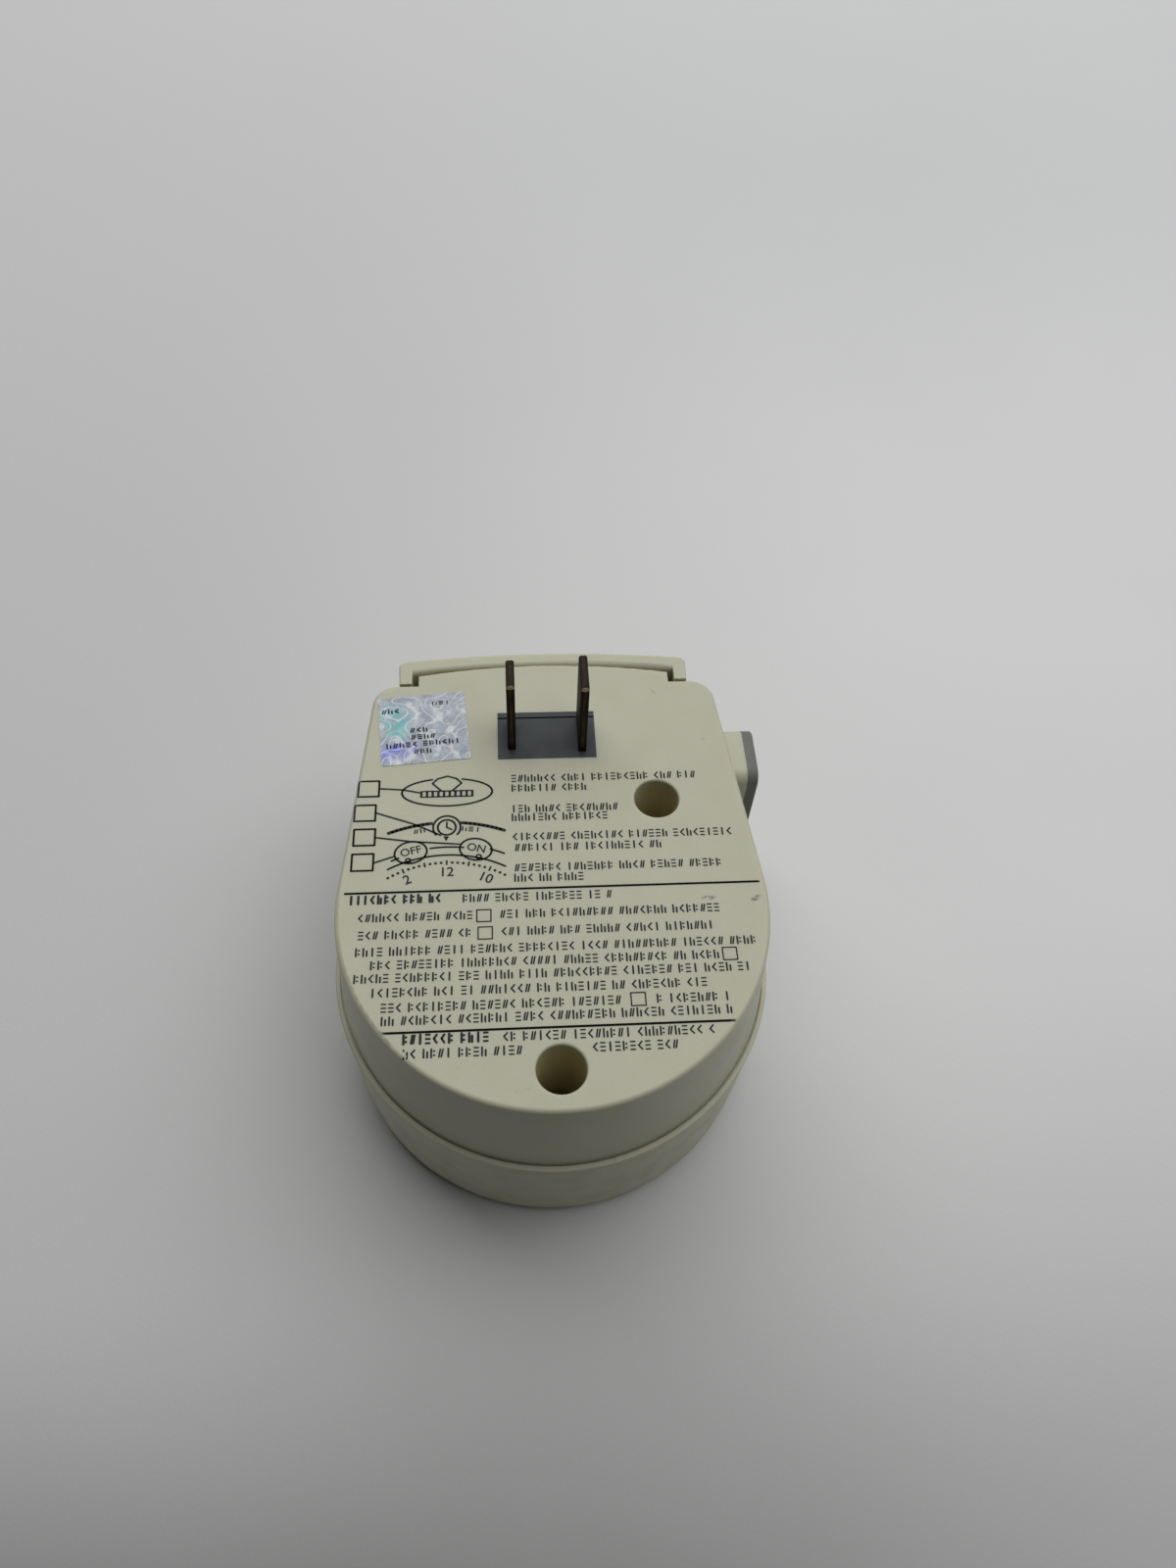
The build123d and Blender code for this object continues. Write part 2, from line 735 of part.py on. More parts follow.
# ---- Dial ------------------------------------------------------------------------------------------
with BuildPart() as dial_face:
    extrude(disc(dial_face_z, [dial_place], dial_face_radius), amount=dial_face_thick)
    chamfer(dial_face.edges().group_by(Axis.Z)[0], dial_face_thick / 4)
    extrude(disc(dial_face_z, [dial_place], dial_shaft_radius), amount=dial_face_thick, mode=Mode.SUBTRACT)
finish(dial_face, "dial_face")

with BuildPart() as dial_wheel:
    extrude(disc(core_z, [dial_place], core_radius), amount=dial_back_z - core_z)
    # hollow behind the core, round the hub
    extrude(disc(core_z + wall, [dial_place], core_radius - wall), amount=body_depth, mode=Mode.SUBTRACT)
    extrude(disc(core_z, [dial_place], hub_radius), amount=dial_back_z - core_z)
    extrude(disc(dial_face_z, [dial_place], dial_shaft_radius), amount=body_depth, mode=Mode.SUBTRACT)
finish(dial_wheel, "dial_wheel")

# floor of the tabs' track, round the core
with BuildPart() as dial_flange:
    extrude(disc(track_floor_z, [dial_place], flange_radius), amount=flange_thick)
    extrude(disc(track_floor_z, [dial_place], core_radius), amount=flange_thick, mode=Mode.SUBTRACT)
finish(dial_flange, "dial_flange")

with BuildPart() as dial_shaft:
    extrude(disc(dial_face_z, [dial_place], dial_shaft_radius), amount=dial_shaft_length)
    chamfer(dial_shaft.edges().group_by(Axis.Z)[-1], shaft_chamfer)
    # groove that the retaining ring snaps into
    extrude(disc(ring_z, [dial_place], dial_shaft_radius), amount=ring_thick, mode=Mode.SUBTRACT)
    extrude(disc(ring_z, [dial_place], ring_groove_radius), amount=ring_thick)
finish(dial_shaft, "dial_shaft")

with BuildPart() as dial_gear:
    extrude(
        gear_outline(
            dial_gear_z, dial_place, dial_teeth, dial_tooth_size, first_direction, dial_shaft_radius
        ),
        amount=gear_thick,
    )
    # lightening ring on the back
    with BuildSketch(Plane.XY.offset(washer_z)):
        with Locations(dial_place):
            Circle(dial_tooth_size * dial_teeth / 2 - 2 * wall)
            Circle(hub_radius + wall, mode=Mode.SUBTRACT)
    extrude(amount=-dial_gear_dish, mode=Mode.SUBTRACT)
finish(dial_gear, "dial_gear")

with BuildPart() as clutch_washer:
    with BuildSketch(Plane.XY.offset(washer_z)):
        with Locations(dial_place):
            Circle(hub_radius)
            Circle(dial_shaft_radius, mode=Mode.SUBTRACT)
    extrude(amount=washer_thick)
finish(clutch_washer, "clutch_washer")

with BuildPart() as retaining_ring:
    with BuildSketch(Plane.XY.offset(ring_z)):
        with Locations(dial_place):
            Circle(ring_radius)
            Circle(ring_groove_radius, mode=Mode.SUBTRACT)
        with Locations((0, bowl_y + dial_shaft_radius)):
            Rectangle(dial_shaft_radius, 2 * dial_shaft_radius, mode=Mode.SUBTRACT)
    extrude(amount=ring_thick)
finish(retaining_ring, "retaining_ring")


# ---- Setting tabs ----------------------------------------------------------------------------------
def tab_shoe(angle):
    """A shoe that slides round the dial's track and carries a push tab, with a lug that trips the star."""
    place = away(dial_place, track_radius, angle)
    shoe_thick = shoe_back_z - shoe_front_z
    with BuildPart() as shoe:
        extrude(
            ring_sector(shoe_front_z, shoe_inner_radius, shoe_outer_radius, angle, shoe_span),
            amount=shoe_thick,
        )
        extrude(ring_sector(lug_z, track_radius, lug_radius, angle, lug_span), amount=lug_height)
        extrude(
            disc(shoe_front_z, [place], spring_pocket_radius),
            amount=spring_pocket_depth,
            mode=Mode.SUBTRACT,
        )
        extrude(
            disc(shoe_front_z, [place], stem_radius + running_gap),
            amount=shoe_thick,
            mode=Mode.SUBTRACT,
        )
        extrude(
            disc(stem_end_z - stem_flange_thick, [place], spring_pocket_radius),
            amount=body_depth,
            mode=Mode.SUBTRACT,
        )
    return shoe


def push_tab(angle):
    """An oval tab on a stem with a snap flange behind the shoe."""
    place = away(dial_place, track_radius, angle)
    with BuildPart() as tab:
        with BuildSketch(Plane.XY.offset(tab_front_z)):
            with Locations(Location((place[0], place[1], 0), (0, 0, angle))):
                Ellipse(tab_width / 2, tab_length / 2)
        extrude(amount=tab_head_thick)
        fillet(tab.edges().group_by(Axis.Z)[0], tab_head_thick / 3)
        extrude(disc(tab_back_z, [place], stem_radius), amount=stem_end_z - tab_back_z)
        extrude(disc(stem_end_z, [place], stem_flange_radius), amount=stem_flange_thick)
    return tab


def tab_spring(angle):
    """The return spring under a tab, a short coil closed at both ends."""
    place = away(dial_place, track_radius, angle)
    coil_height = pocket_floor_z - tab_back_z - 2 * tab_spring_wire
    with BuildPart() as spring:
        with BuildLine(Plane(origin=(place[0], place[1], tab_back_z + tab_spring_wire))):
            coil = Helix(pitch=coil_height / 3, height=coil_height, radius=tab_spring_radius)
        with BuildSketch(Plane(origin=coil @ 0, z_dir=coil % 0)):
            Circle(tab_spring_wire)
        sweep(path=coil)
    return spring


finish(tab_shoe(on_tab_angle), "on_tab_shoe")
finish(push_tab(on_tab_angle), "on_tab")
finish(tab_spring(on_tab_angle), "on_tab_spring")
finish(tab_shoe(off_tab_angle), "off_tab_shoe")
finish(push_tab(off_tab_angle), "off_tab")
finish(tab_spring(off_tab_angle), "off_tab_spring")

# ---- Clock emblem ----------------------------------------------------------------------------------
with BuildPart() as clock_emblem:
    extrude(disc(front_z + emblem_recess, [emblem_place], emblem_radius), amount=bezel_rise - emblem_recess)
    chamfer(clock_emblem.edges().group_by(Axis.Z)[0], emblem_recess)
finish(clock_emblem, "clock_emblem")

# ---- Override wheel, trip star and switch cam ------------------------------------------------------
with BuildPart() as override_wheel:
    with BuildSketch(Plane.XY.offset(wheel_z)):
        with Locations(wheel_place):
            Circle(wheel_radius)
            with PolarLocations(wheel_radius, knurl_count):
                Circle(knurl_depth, mode=Mode.SUBTRACT)
    extrude(amount=wheel_thick)
    for level in (wheel_z, wheel_top_z - wheel_dish):
        with BuildSketch(Plane.XY.offset(level)):
            with Locations(wheel_place):
                Circle(wheel_radius - wall)
                Circle(sleeve_radius + wall, mode=Mode.SUBTRACT)
        extrude(amount=wheel_dish, mode=Mode.SUBTRACT)
    extrude(disc(lug_z, [wheel_place], sleeve_radius), amount=cam_top_z - lug_z)
    extrude(
        disc(lug_z, [wheel_place], override_pin_radius + running_gap),
        amount=body_depth,
        mode=Mode.SUBTRACT,
    )
finish(override_wheel, "override_wheel")

with BuildPart() as trip_star:
    with BuildSketch(Plane.XY.offset(lug_z)):
        with Locations(wheel_place):
            Circle(star_root_radius)
            with PolarLocations(0, star_points, 180 / star_points):
                Polygon(
                    (0, -star_root_radius / 3),
                    (star_radius, -star_tip_half),
                    (star_radius, star_tip_half),
                    (0, star_root_radius / 3),
                    align=None,
                )
            Circle(sleeve_radius, mode=Mode.SUBTRACT)
    extrude(amount=lug_height)
finish(trip_star, "trip_star")

with BuildPart() as switch_cam:
    with BuildSketch(Plane.XY.offset(cam_z)):
        with Locations(wheel_place):
            Circle(cam_valley_radius)
            with PolarLocations(0, cam_lobes, 180 / cam_lobes):
                with Locations((cam_lobe_radius / 2, 0)):
                    Rectangle(cam_lobe_radius, cam_valley_radius)
            Circle(cam_lobe_radius, mode=Mode.INTERSECT)
            Circle(sleeve_radius, mode=Mode.SUBTRACT)
    extrude(amount=cam_thick)
finish(switch_cam, "switch_cam")

with BuildPart() as override_pin:
    extrude(
        disc(shell_floor_z - pin_seat, [wheel_place], override_pin_radius),
        amount=plate_back_z - shell_floor_z + pin_seat,
    )
finish(override_pin, "override_pin")

# ---- Gear train ------------------------------------------------------------------------------------
with BuildPart() as first_gear:
    extrude(
        gear_outline(
            dial_gear_z, first_place, first_pinion_teeth, dial_tooth_size,
            meshing_angle(first_direction, first_pinion_teeth), train_pin_radius + running_gap,
        ),
        amount=first_wheel_z - dial_gear_z,
    )
    extrude(
        gear_outline(
            first_wheel_z, first_place, first_wheel_teeth, first_tooth_size, second_direction,
            train_pin_radius + running_gap,
        ),
        amount=thin_gear_thick,
    )
    extrude(disc(first_wheel_z, [first_place], gear_hub_radius), amount=hub_top_z - first_wheel_z)
    extrude(
        disc(dial_gear_z, [first_place], train_pin_radius + running_gap),
        amount=body_depth,
        mode=Mode.SUBTRACT,
    )
finish(first_gear, "first_gear")

with BuildPart() as second_gear:
    extrude(
        gear_outline(
            first_wheel_z - gear_gap / 2, second_place, second_pinion_teeth, first_tooth_size,
            meshing_angle(second_direction, second_pinion_teeth), train_pin_radius + running_gap,
        ),
        amount=second_wheel_z - first_wheel_z + gear_gap / 2,
    )
    extrude(
        gear_outline(
            second_wheel_z, second_place, second_wheel_teeth, second_tooth_size, motor_direction,
            train_pin_radius + running_gap,
        ),
        amount=thin_gear_thick,
    )
    extrude(disc(second_wheel_z, [second_place], gear_hub_radius), amount=hub_top_z - second_wheel_z)
    extrude(
        disc(dial_gear_z, [second_place], train_pin_radius + running_gap),
        amount=body_depth,
        mode=Mode.SUBTRACT,
    )
finish(second_gear, "second_gear")

with BuildPart() as train_pins:
    extrude(
        disc(cup_back_z - pin_seat, [first_place], train_pin_radius),
        amount=plate_back_z - cup_back_z + pin_seat,
    )
    extrude(
        disc(first_wheel_z - gear_gap, [second_place], train_pin_radius),
        amount=plate_back_z - first_wheel_z + gear_gap,
    )
finish(train_pins, "train_pins")

# ---- Mechanism plate -------------------------------------------------------------------------------
with BuildPart() as mechanism_plate:
    with BuildSketch(Plane.XY.offset(plate_z)):
        with Locations(*plate_posts, wheel_place, *motor_ear_places):
            Circle(plate_pad_radius)
        with Locations(motor_place):
            Circle(motor_radius)
        make_hull()
        with Locations(*plate_posts, *motor_ear_places):
            Circle(small_screw_radius, mode=Mode.SUBTRACT)
        with Locations(first_place, second_place):
            Circle(train_pin_radius, mode=Mode.SUBTRACT)
        with Locations(wheel_place):
            Circle(override_pin_radius, mode=Mode.SUBTRACT)
        with Locations(motor_place):
            Circle(2 * motor_shaft_radius, mode=Mode.SUBTRACT)
        with Locations(lever_pin_place):
            Circle(lever_pin_radius, mode=Mode.SUBTRACT)
        with Locations((contact_block_x, contact_block_y)):
            Rectangle(contact_block_width, contact_block_length, mode=Mode.SUBTRACT)
    extrude(amount=plate_thick)
finish(mechanism_plate, "mechanism_plate")


def screws(level, places, shank_radius, shank_length, head_radius, head_height):
    """Pan head screws driven towards the front, with cross recesses."""
    with BuildPart() as group:
        extrude(disc(level - shank_length, places, shank_radius), amount=shank_length)
        extrude(disc(level, places, head_radius), amount=head_height)
        fillet(group.edges().group_by(Axis.Z)[-1], head_height / 3)
        with BuildSketch(Plane.XY.offset(level + head_height)):
            with Locations(*places):
                Rectangle(head_radius * cross_length, head_radius * cross_width)
                Rectangle(head_radius * cross_width, head_radius * cross_length)
        extrude(amount=-head_height / 2, mode=Mode.SUBTRACT)
    return group


def small_screws(level, places, length):
    """Short screws of the size that holds the plate and the motor."""
    return screws(level, places, small_screw_radius, length, small_head_radius, small_head_height)


finish(small_screws(plate_back_z, plate_posts, plate_thick + small_screw_bite), "plate_screws")
finish(
    screws(
        well_floor_z,
        well_places,
        screw_radius,
        well_floor + screw_bite,
        screw_head_radius,
        screw_head_height,
    ),
    "housing_screws",
)

# ---- Motor -----------------------------------------------------------------------------------------
bobbin_z = motor_z + part_gap
bobbin_height = motor_height - motor_wall - 2 * part_gap
motor_shaft_z = second_wheel_z - part_gap

with BuildPart() as motor_end_plate:
    with BuildSketch(Plane.XY.offset(plate_back_z)):
        with Locations(*motor_ear_places):
            Circle(motor_ear_radius)
        make_hull()
        with Locations(motor_place):
            Circle(motor_radius)
        with Locations(*motor_ear_places):
            Circle(small_screw_radius, mode=Mode.SUBTRACT)
        with Locations(motor_place):
            Circle(motor_shaft_radius + running_gap, mode=Mode.SUBTRACT)
    extrude(amount=motor_plate_thick)
finish(motor_end_plate, "motor_end_plate")

with BuildPart() as motor_can:
    extrude(disc(motor_z, [motor_place], motor_radius), amount=motor_height)
    fillet(motor_can.edges().group_by(Axis.Z)[-1], 2 * motor_wall)
    extrude(
        disc(motor_z, [motor_place], motor_radius - motor_wall),
        amount=motor_height - motor_wall,
        mode=Mode.SUBTRACT,
    )
finish(motor_can, "motor_can")

with BuildPart() as motor_bobbin:
    extrude(disc(bobbin_z, [motor_place], coil_radius), amount=bobbin_height)
    with BuildSketch(Plane.XY.offset(bobbin_z + bobbin_wall)):
        with Locations(motor_place):
            Circle(coil_radius)
            Circle(bobbin_radius + bobbin_wall, mode=Mode.SUBTRACT)
    extrude(amount=bobbin_height - 2 * bobbin_wall, mode=Mode.SUBTRACT)
    extrude(disc(bobbin_z, [motor_place], bobbin_radius), amount=bobbin_height, mode=Mode.SUBTRACT)
finish(motor_bobbin, "motor_bobbin")

with BuildPart() as motor_coil:
    with BuildSketch(Plane.XY.offset(bobbin_z + bobbin_wall)):
        with Locations(motor_place):
            Circle(coil_radius - bobbin_wall / 2)
            Circle(bobbin_radius + bobbin_wall, mode=Mode.SUBTRACT)
    extrude(amount=bobbin_height - 2 * bobbin_wall)
finish(motor_coil, "motor_coil")

with BuildPart() as motor_rotor:
    extrude(
        disc(motor_z + gear_gap, [motor_place], rotor_radius),
        amount=motor_height - motor_wall - 2 * gear_gap,
    )
    extrude(
        disc(motor_shaft_z, [motor_place], motor_shaft_radius),
        amount=motor_top_z - motor_wall - part_gap - motor_shaft_z,
    )
finish(motor_rotor, "motor_rotor")

with BuildPart() as motor_pinion:
    extrude(
        gear_outline(
            motor_shaft_z, motor_place, motor_pinion_teeth, second_tooth_size,
            meshing_angle(motor_direction, motor_pinion_teeth), motor_shaft_radius,
        ),
        amount=plate_z - part_gap - motor_shaft_z,
    )
finish(motor_pinion, "motor_pinion")

finish(
    small_screws(motor_z, motor_ear_places, motor_plate_thick + plate_thick + motor_screw_end),
    "motor_screws",
)

# ---- Switch lever, contacts and their block --------------------------------------------------------
lever_tip_y = contact_y + contact_radius
lever_bend_y = lever_pin_place[1] + 3 * lever_boss_radius

with BuildPart() as lever_pin:
    extrude(
        disc(lever_z - part_gap, [lever_pin_place], lever_pin_radius),
        amount=plate_back_z - lever_z + part_gap,
    )
finish(lever_pin, "lever_pin")

with BuildPart() as switch_lever:
    with BuildSketch(Plane.XY.offset(lever_z)):
        with Locations(lever_pin_place):
            Circle(lever_boss_radius)
        with BuildLine():
            Polyline(
                (lever_pin_place[0] + lever_boss_radius, lever_pin_place[1]),
                (lever_face_x, lever_bend_y),
                (lever_face_x, lever_tip_y),
                (lever_face_x - lever_width, lever_tip_y),
                (lever_face_x - lever_width, lever_bend_y),
                (lever_pin_place[0] - lever_boss_radius, lever_pin_place[1]),
                close=True,
            )
        make_face()
        with Locations((lever_face_x + (lever_nose_reach - lever_nose_radius) / 2, wheel_y)):
            Rectangle(lever_nose_reach - lever_nose_radius, 2 * lever_nose_radius)
        with Locations((lever_face_x + lever_nose_reach - lever_nose_radius, wheel_y)):
            Circle(lever_nose_radius)
        with Locations(lever_pin_place):
            Circle(lever_pin_radius + running_gap, mode=Mode.SUBTRACT)
    extrude(amount=leaf_width)
finish(switch_lever, "switch_lever")

with BuildPart() as moving_contact:
    with BuildSketch(Plane.XY.offset(lever_z)):
        with Locations((leaf_x - leaf_thick / 2, (leaf_root_y + part_gap + contact_y + leaf_end) / 2)):
            Rectangle(leaf_thick, contact_y + leaf_end - leaf_root_y - part_gap)
    extrude(amount=leaf_width)
finish(moving_contact, "moving_contact")


def contact_rivet(face_x, reach):
    """A domed contact button that stands on a strip's face at face_x."""
    with BuildPart() as rivet:
        with BuildSketch(Plane.YZ.offset(face_x)):
            with Locations((contact_y, lever_z + leaf_width / 2)):
                Circle(contact_radius)
        extrude(amount=reach)
        tip = rivet.faces().filter_by(Axis.X).sort_by(Axis.X)[0 if reach < 0 else -1]
        fillet(tip.edges(), contact_thick / 3)
    return rivet


finish(contact_rivet(moving_contact_x, -contact_thick), "moving_contact_rivet")
finish(contact_rivet(line_strip_x, contact_thick), "fixed_contact_rivet")

with BuildPart() as contact_block:
    with BuildSketch(Plane.XY.offset(lever_z)):
        with Locations((contact_block_x, contact_block_y)):
            Rectangle(contact_block_width, contact_block_length)
        for strip_x in (load_strip_x, line_strip_x):
            with Locations((strip_x - strip_thick / 2, contact_block_y)):
                Rectangle(strip_thick, contact_block_length, mode=Mode.SUBTRACT)
    extrude(amount=plate_back_z - lever_z)
    # bridge that joins the block across the tops of its slots
    with BuildSketch(Plane.XY.offset(lever_z)):
        with Locations((contact_block_x, leaf_root_y - contact_block_wall / 2)):
            Rectangle(contact_block_width, contact_block_wall)
    extrude(amount=-contact_block_wall)
finish(contact_block, "contact_block")


def span_box(low, high):
    """A plain block between two corners, added to the part being built."""
    size = [high[i] - low[i] for i in range(3)]
    middle = [(high[i] + low[i]) / 2 for i in range(3)]
    with Locations(tuple(middle)):
        Box(*size)


riser_y = contact_block_y - contact_block_length / 2
bus_z = tail_z - strip_thick  # underside of the strips that meet the blades' tails
load_z = (bus_z + plate_back_z + small_head_height - strip_thick) / 2

with BuildPart() as line_strip:
    left, right = line_strip_x - strip_thick, line_strip_x
    span_box((left, riser_y, lever_z), (right, contact_y + leaf_end, lever_z + leaf_width))
    span_box((left, riser_y, lever_z), (right, riser_y + strip_width, tail_z))
    span_box((left, riser_y, bus_z), (strip_width / 2 - slot_offset, riser_y + strip_width, tail_z))
    span_box(
        (-slot_offset - strip_width / 2, riser_y, bus_z),
        (strip_width / 2 - slot_offset, narrow_blade_width / 2, tail_z),
    )
finish(line_strip, "line_strip")

with BuildPart() as load_strip:
    left, right = load_strip_x - strip_thick, load_strip_x
    turn_x = clip_x / 2
    clip_low_y, clip_high_y = outlet_y - strip_width / 2, outlet_y + strip_width / 2
    line_clip_z = parting_z - slot_offset
    span_box((left, riser_y, lever_z), (right, leaf_root_y, lever_z + leaf_width))
    span_box((left, riser_y, lever_z), (right, riser_y + strip_width, load_z + strip_thick))
    span_box((left, riser_y, load_z), (turn_x + strip_width, riser_y + strip_width, load_z + strip_thick))
    span_box((turn_x, riser_y, load_z), (turn_x + strip_width, clip_high_y, load_z + strip_thick))
    span_box((turn_x, clip_low_y, load_z), (clip_x, clip_high_y, load_z + strip_thick))
    span_box(
        (clip_x - strip_thick, clip_low_y, line_clip_z - clip_gap / 2),
        (clip_x, clip_high_y, load_z + strip_thick),
    )
finish(load_strip, "load_strip")

with BuildPart() as neutral_strip:
    span_box(
        (slot_offset - blade_thick, -wide_blade_width / 2, bus_z),
        (slot_offset + blade_thick, wide_blade_width / 2, tail_z),
    )
    span_box((slot_offset, outlet_y - strip_width / 2, bus_z), (clip_x, outlet_y + strip_width / 2, tail_z))
finish(neutral_strip, "neutral_strip")

with BuildPart() as detent_spring:
    spring_x = cam_lobe_radius + part_gap
    arm_y, foot_y = wheel_y - detent_low, wheel_y - detent_low - detent_foot
    span_box(
        (spring_x, arm_y, lever_z),
        (spring_x + detent_thick, wheel_y + detent_high, lever_z + leaf_width),
    )
    span_box((spring_x, foot_y, lever_z), (spring_x + detent_thick, arm_y, plate_z))
    span_box((spring_x, foot_y, plate_z - detent_thick), (spring_x + detent_foot, arm_y, plate_z))
finish(detent_spring, "detent_spring")


def lead_wire(points):
    """An insulated wire along straight runs joined by bends."""
    with BuildPart() as wire:
        with BuildLine():
            path = FilletPolyline(*points, radius=lead_bend)
        with BuildSketch(Plane(origin=path @ 0, z_dir=path % 0)):
            Circle(lead_radius)
        sweep(path=path)
    return wire


lead_z = tail_z + lead_bend + lead_radius
can_exit_y = motor_place[1] + motor_radius
line_lead_x = line_strip_x - strip_thick / 2
neutral_lead_x = line_lead_x + strip_width
neutral_lead_y = can_exit_y + 3 * lead_bend
neutral_end_x = well_places[0][0] - well_radius - well_wall - 2 * lead_radius - part_gap

finish(
    lead_wire(
        [
            (line_lead_x, can_exit_y, lead_z),
            (line_lead_x, riser_y + strip_width / 2, lead_z),
            (line_lead_x, riser_y + strip_width / 2, tail_z),
        ]
    ),
    "motor_lead_line",
)
finish(
    lead_wire(
        [
            (neutral_lead_x, can_exit_y, lead_z),
            (neutral_lead_x, neutral_lead_y, lead_z),
            (neutral_end_x, neutral_lead_y, lead_z),
            (neutral_end_x, outlet_y, lead_z),
            (neutral_end_x, outlet_y, tail_z),
        ]
    ),
    "motor_lead_neutral",
)

# ---- Label -----------------------------------------------------------------------------------------
with BuildPart() as foil_label:
    with BuildSketch():
        with Locations(Location((label_place[0], label_place[1], 0), (0, 0, label_turn))):
            Rectangle(label_width, label_height)
    extrude(amount=label_thick)
finish(foil_label, "foil_label")
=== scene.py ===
import math
import random

import bpy
from mathutils import Matrix, Vector


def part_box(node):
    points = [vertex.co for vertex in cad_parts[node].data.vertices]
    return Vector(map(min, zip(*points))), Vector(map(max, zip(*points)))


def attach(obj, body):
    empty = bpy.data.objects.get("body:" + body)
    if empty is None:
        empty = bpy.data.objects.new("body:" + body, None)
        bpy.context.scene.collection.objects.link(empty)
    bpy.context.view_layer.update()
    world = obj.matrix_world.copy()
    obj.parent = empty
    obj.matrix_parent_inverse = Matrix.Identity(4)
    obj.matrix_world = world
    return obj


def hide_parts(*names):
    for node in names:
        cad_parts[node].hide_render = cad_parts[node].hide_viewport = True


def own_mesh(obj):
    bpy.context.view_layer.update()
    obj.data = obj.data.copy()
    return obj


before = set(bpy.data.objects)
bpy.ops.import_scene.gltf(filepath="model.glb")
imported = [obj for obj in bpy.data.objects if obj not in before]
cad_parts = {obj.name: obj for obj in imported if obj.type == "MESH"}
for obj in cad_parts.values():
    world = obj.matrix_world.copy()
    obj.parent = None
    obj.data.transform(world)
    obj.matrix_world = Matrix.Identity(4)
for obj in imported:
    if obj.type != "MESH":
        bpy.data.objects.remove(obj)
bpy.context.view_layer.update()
mm = 0.001
random.seed(24)
bpy.context.scene.view_settings.view_transform = "Standard"
print("frame loaded:", len(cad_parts), "nodes")


def setMode(mode):
    bpy.ops.object.mode_set(mode=mode)


def clearSelection():
    if bpy.context.object and bpy.context.object.mode != "OBJECT":
        setMode("OBJECT")
    bpy.ops.object.select_all(action="DESELECT")


def paint(red, green, blue):
    # a colour as it shows, 0 to 255, made the linear one that nodes take
    def straighten(level):
        level = level / 255
        return level / 12.92 if level <= 0.04045 else ((level + 0.055) / 1.055) ** 2.4

    return (straighten(red), straighten(green), straighten(blue), 1)


# Small helpers that each add one thing to a material


def shaderOf(finish):
    return finish.node_tree.nodes["Principled BSDF"]


def wire(finish, source, target):
    finish.node_tree.links.new(source, target)


def setInputs(finish, node, values):
    # each input takes a plain value or another node's output
    for name, value in values.items():
        if isinstance(value, bpy.types.NodeSocket):
            wire(finish, value, node.inputs[name])
        else:
            node.inputs[name].default_value = value


def addNode(finish, kind, values=None):
    node = finish.node_tree.nodes.new("ShaderNode" + kind)
    setInputs(finish, node, values or {})
    return node


def startFinish(name, look):
    finish = bpy.data.materials.new(name)
    finish.use_nodes = True
    values = {"Base Color": paint(*look["colour"]), "Roughness": look["rough"]}
    values |= {"Metallic": look.get("metal", 0), "Specular IOR Level": look.get("shine", 0.5)}
    setInputs(finish, shaderOf(finish), values)
    return finish


def placeOf(finish):
    # each point's place on the object
    return addNode(finish, "TexCoord").outputs["Object"]


def axesOf(finish, place):
    return addNode(finish, "SeparateXYZ", {"Vector": place}).outputs


def mathNode(finish, operation, first, second=0.0):
    node = addNode(finish, "Math", {0: first, 1: second})
    node.operation = operation
    return node.outputs["Value"]


def product(finish, first, second):
    return mathNode(finish, "MULTIPLY", first, second)


def lengthOf(finish, place):
    node = addNode(finish, "VectorMath", {0: place})
    node.operation = "LENGTH"
    return node.outputs["Value"]


def mapNode(finish, value, low=0, high=1, start=0, end=1, kind="LINEAR"):
    # start where the value is low, end where it is high
    values = {"Value": value, "From Min": low, "From Max": high, "To Min": start, "To Max": end}
    node = addNode(finish, "MapRange", values)
    node.interpolation_type = kind
    return node.outputs["Result"]


def noiseMask(finish, size, low, high, detail=3, stretch=(1, 1, 1)):
    # patches about one size across, 0 below low and 1 above high
    turn = addNode(finish, "Mapping", {"Vector": placeOf(finish), "Scale": stretch})
    values = {"Vector": turn.outputs["Vector"], "Scale": 1 / (size * mm), "Detail": detail}
    noise = addNode(finish, "TexNoise", values)
    return mapNode(finish, noise.outputs["Fac"], low, high)


def patchMask(finish, centre, size, turn=0, soft=0.5):
    # an oval spot at one place on the object
    values = {"Vector": placeOf(finish), "Rotation": (0, 0, math.radians(turn))}
    values |= {"Location": [value * mm for value in centre], "Scale": [value * mm for value in size]}
    shift = addNode(finish, "Mapping", values)
    shift.vector_type = "TEXTURE"
    return mapNode(finish, lengthOf(finish, shift.outputs["Vector"]), 1, 1 - soft)


def slopeMask(finish, axis, start, end):
    # 0 at start and 1 at end along one axis, in mm
    along = axesOf(finish, placeOf(finish))[axis]
    return mapNode(finish, along, start * mm, end * mm, kind="SMOOTHSTEP")


def tintOver(finish, colour, mask, amount=1.0):
    # lays a colour over what the shader has, where the mask says
    blend = addNode(finish, "Mix")
    blend.data_type = "RGBA"
    under = shaderOf(finish).inputs["Base Color"]
    if under.is_linked:
        wire(finish, under.links[0].from_socket, blend.inputs["A"])
    else:
        blend.inputs["A"].default_value = under.default_value
    blend.inputs["B"].default_value = paint(*colour)
    wire(finish, product(finish, mask, amount), blend.inputs["Factor"])
    wire(finish, blend.outputs["Result"], under)


def variedRough(finish, mask, low, high):
    wire(finish, mapNode(finish, mask, start=low, end=high), shaderOf(finish).inputs["Roughness"])


def addBump(finish, height, depth):
    bump = addNode(finish, "Bump", {"Height": height, "Distance": depth * mm, "Strength": 1})
    normal = shaderOf(finish).inputs["Normal"]
    if normal.is_linked:
        wire(finish, normal.links[0].from_socket, bump.inputs["Normal"])
    wire(finish, bump.outputs["Normal"], normal)


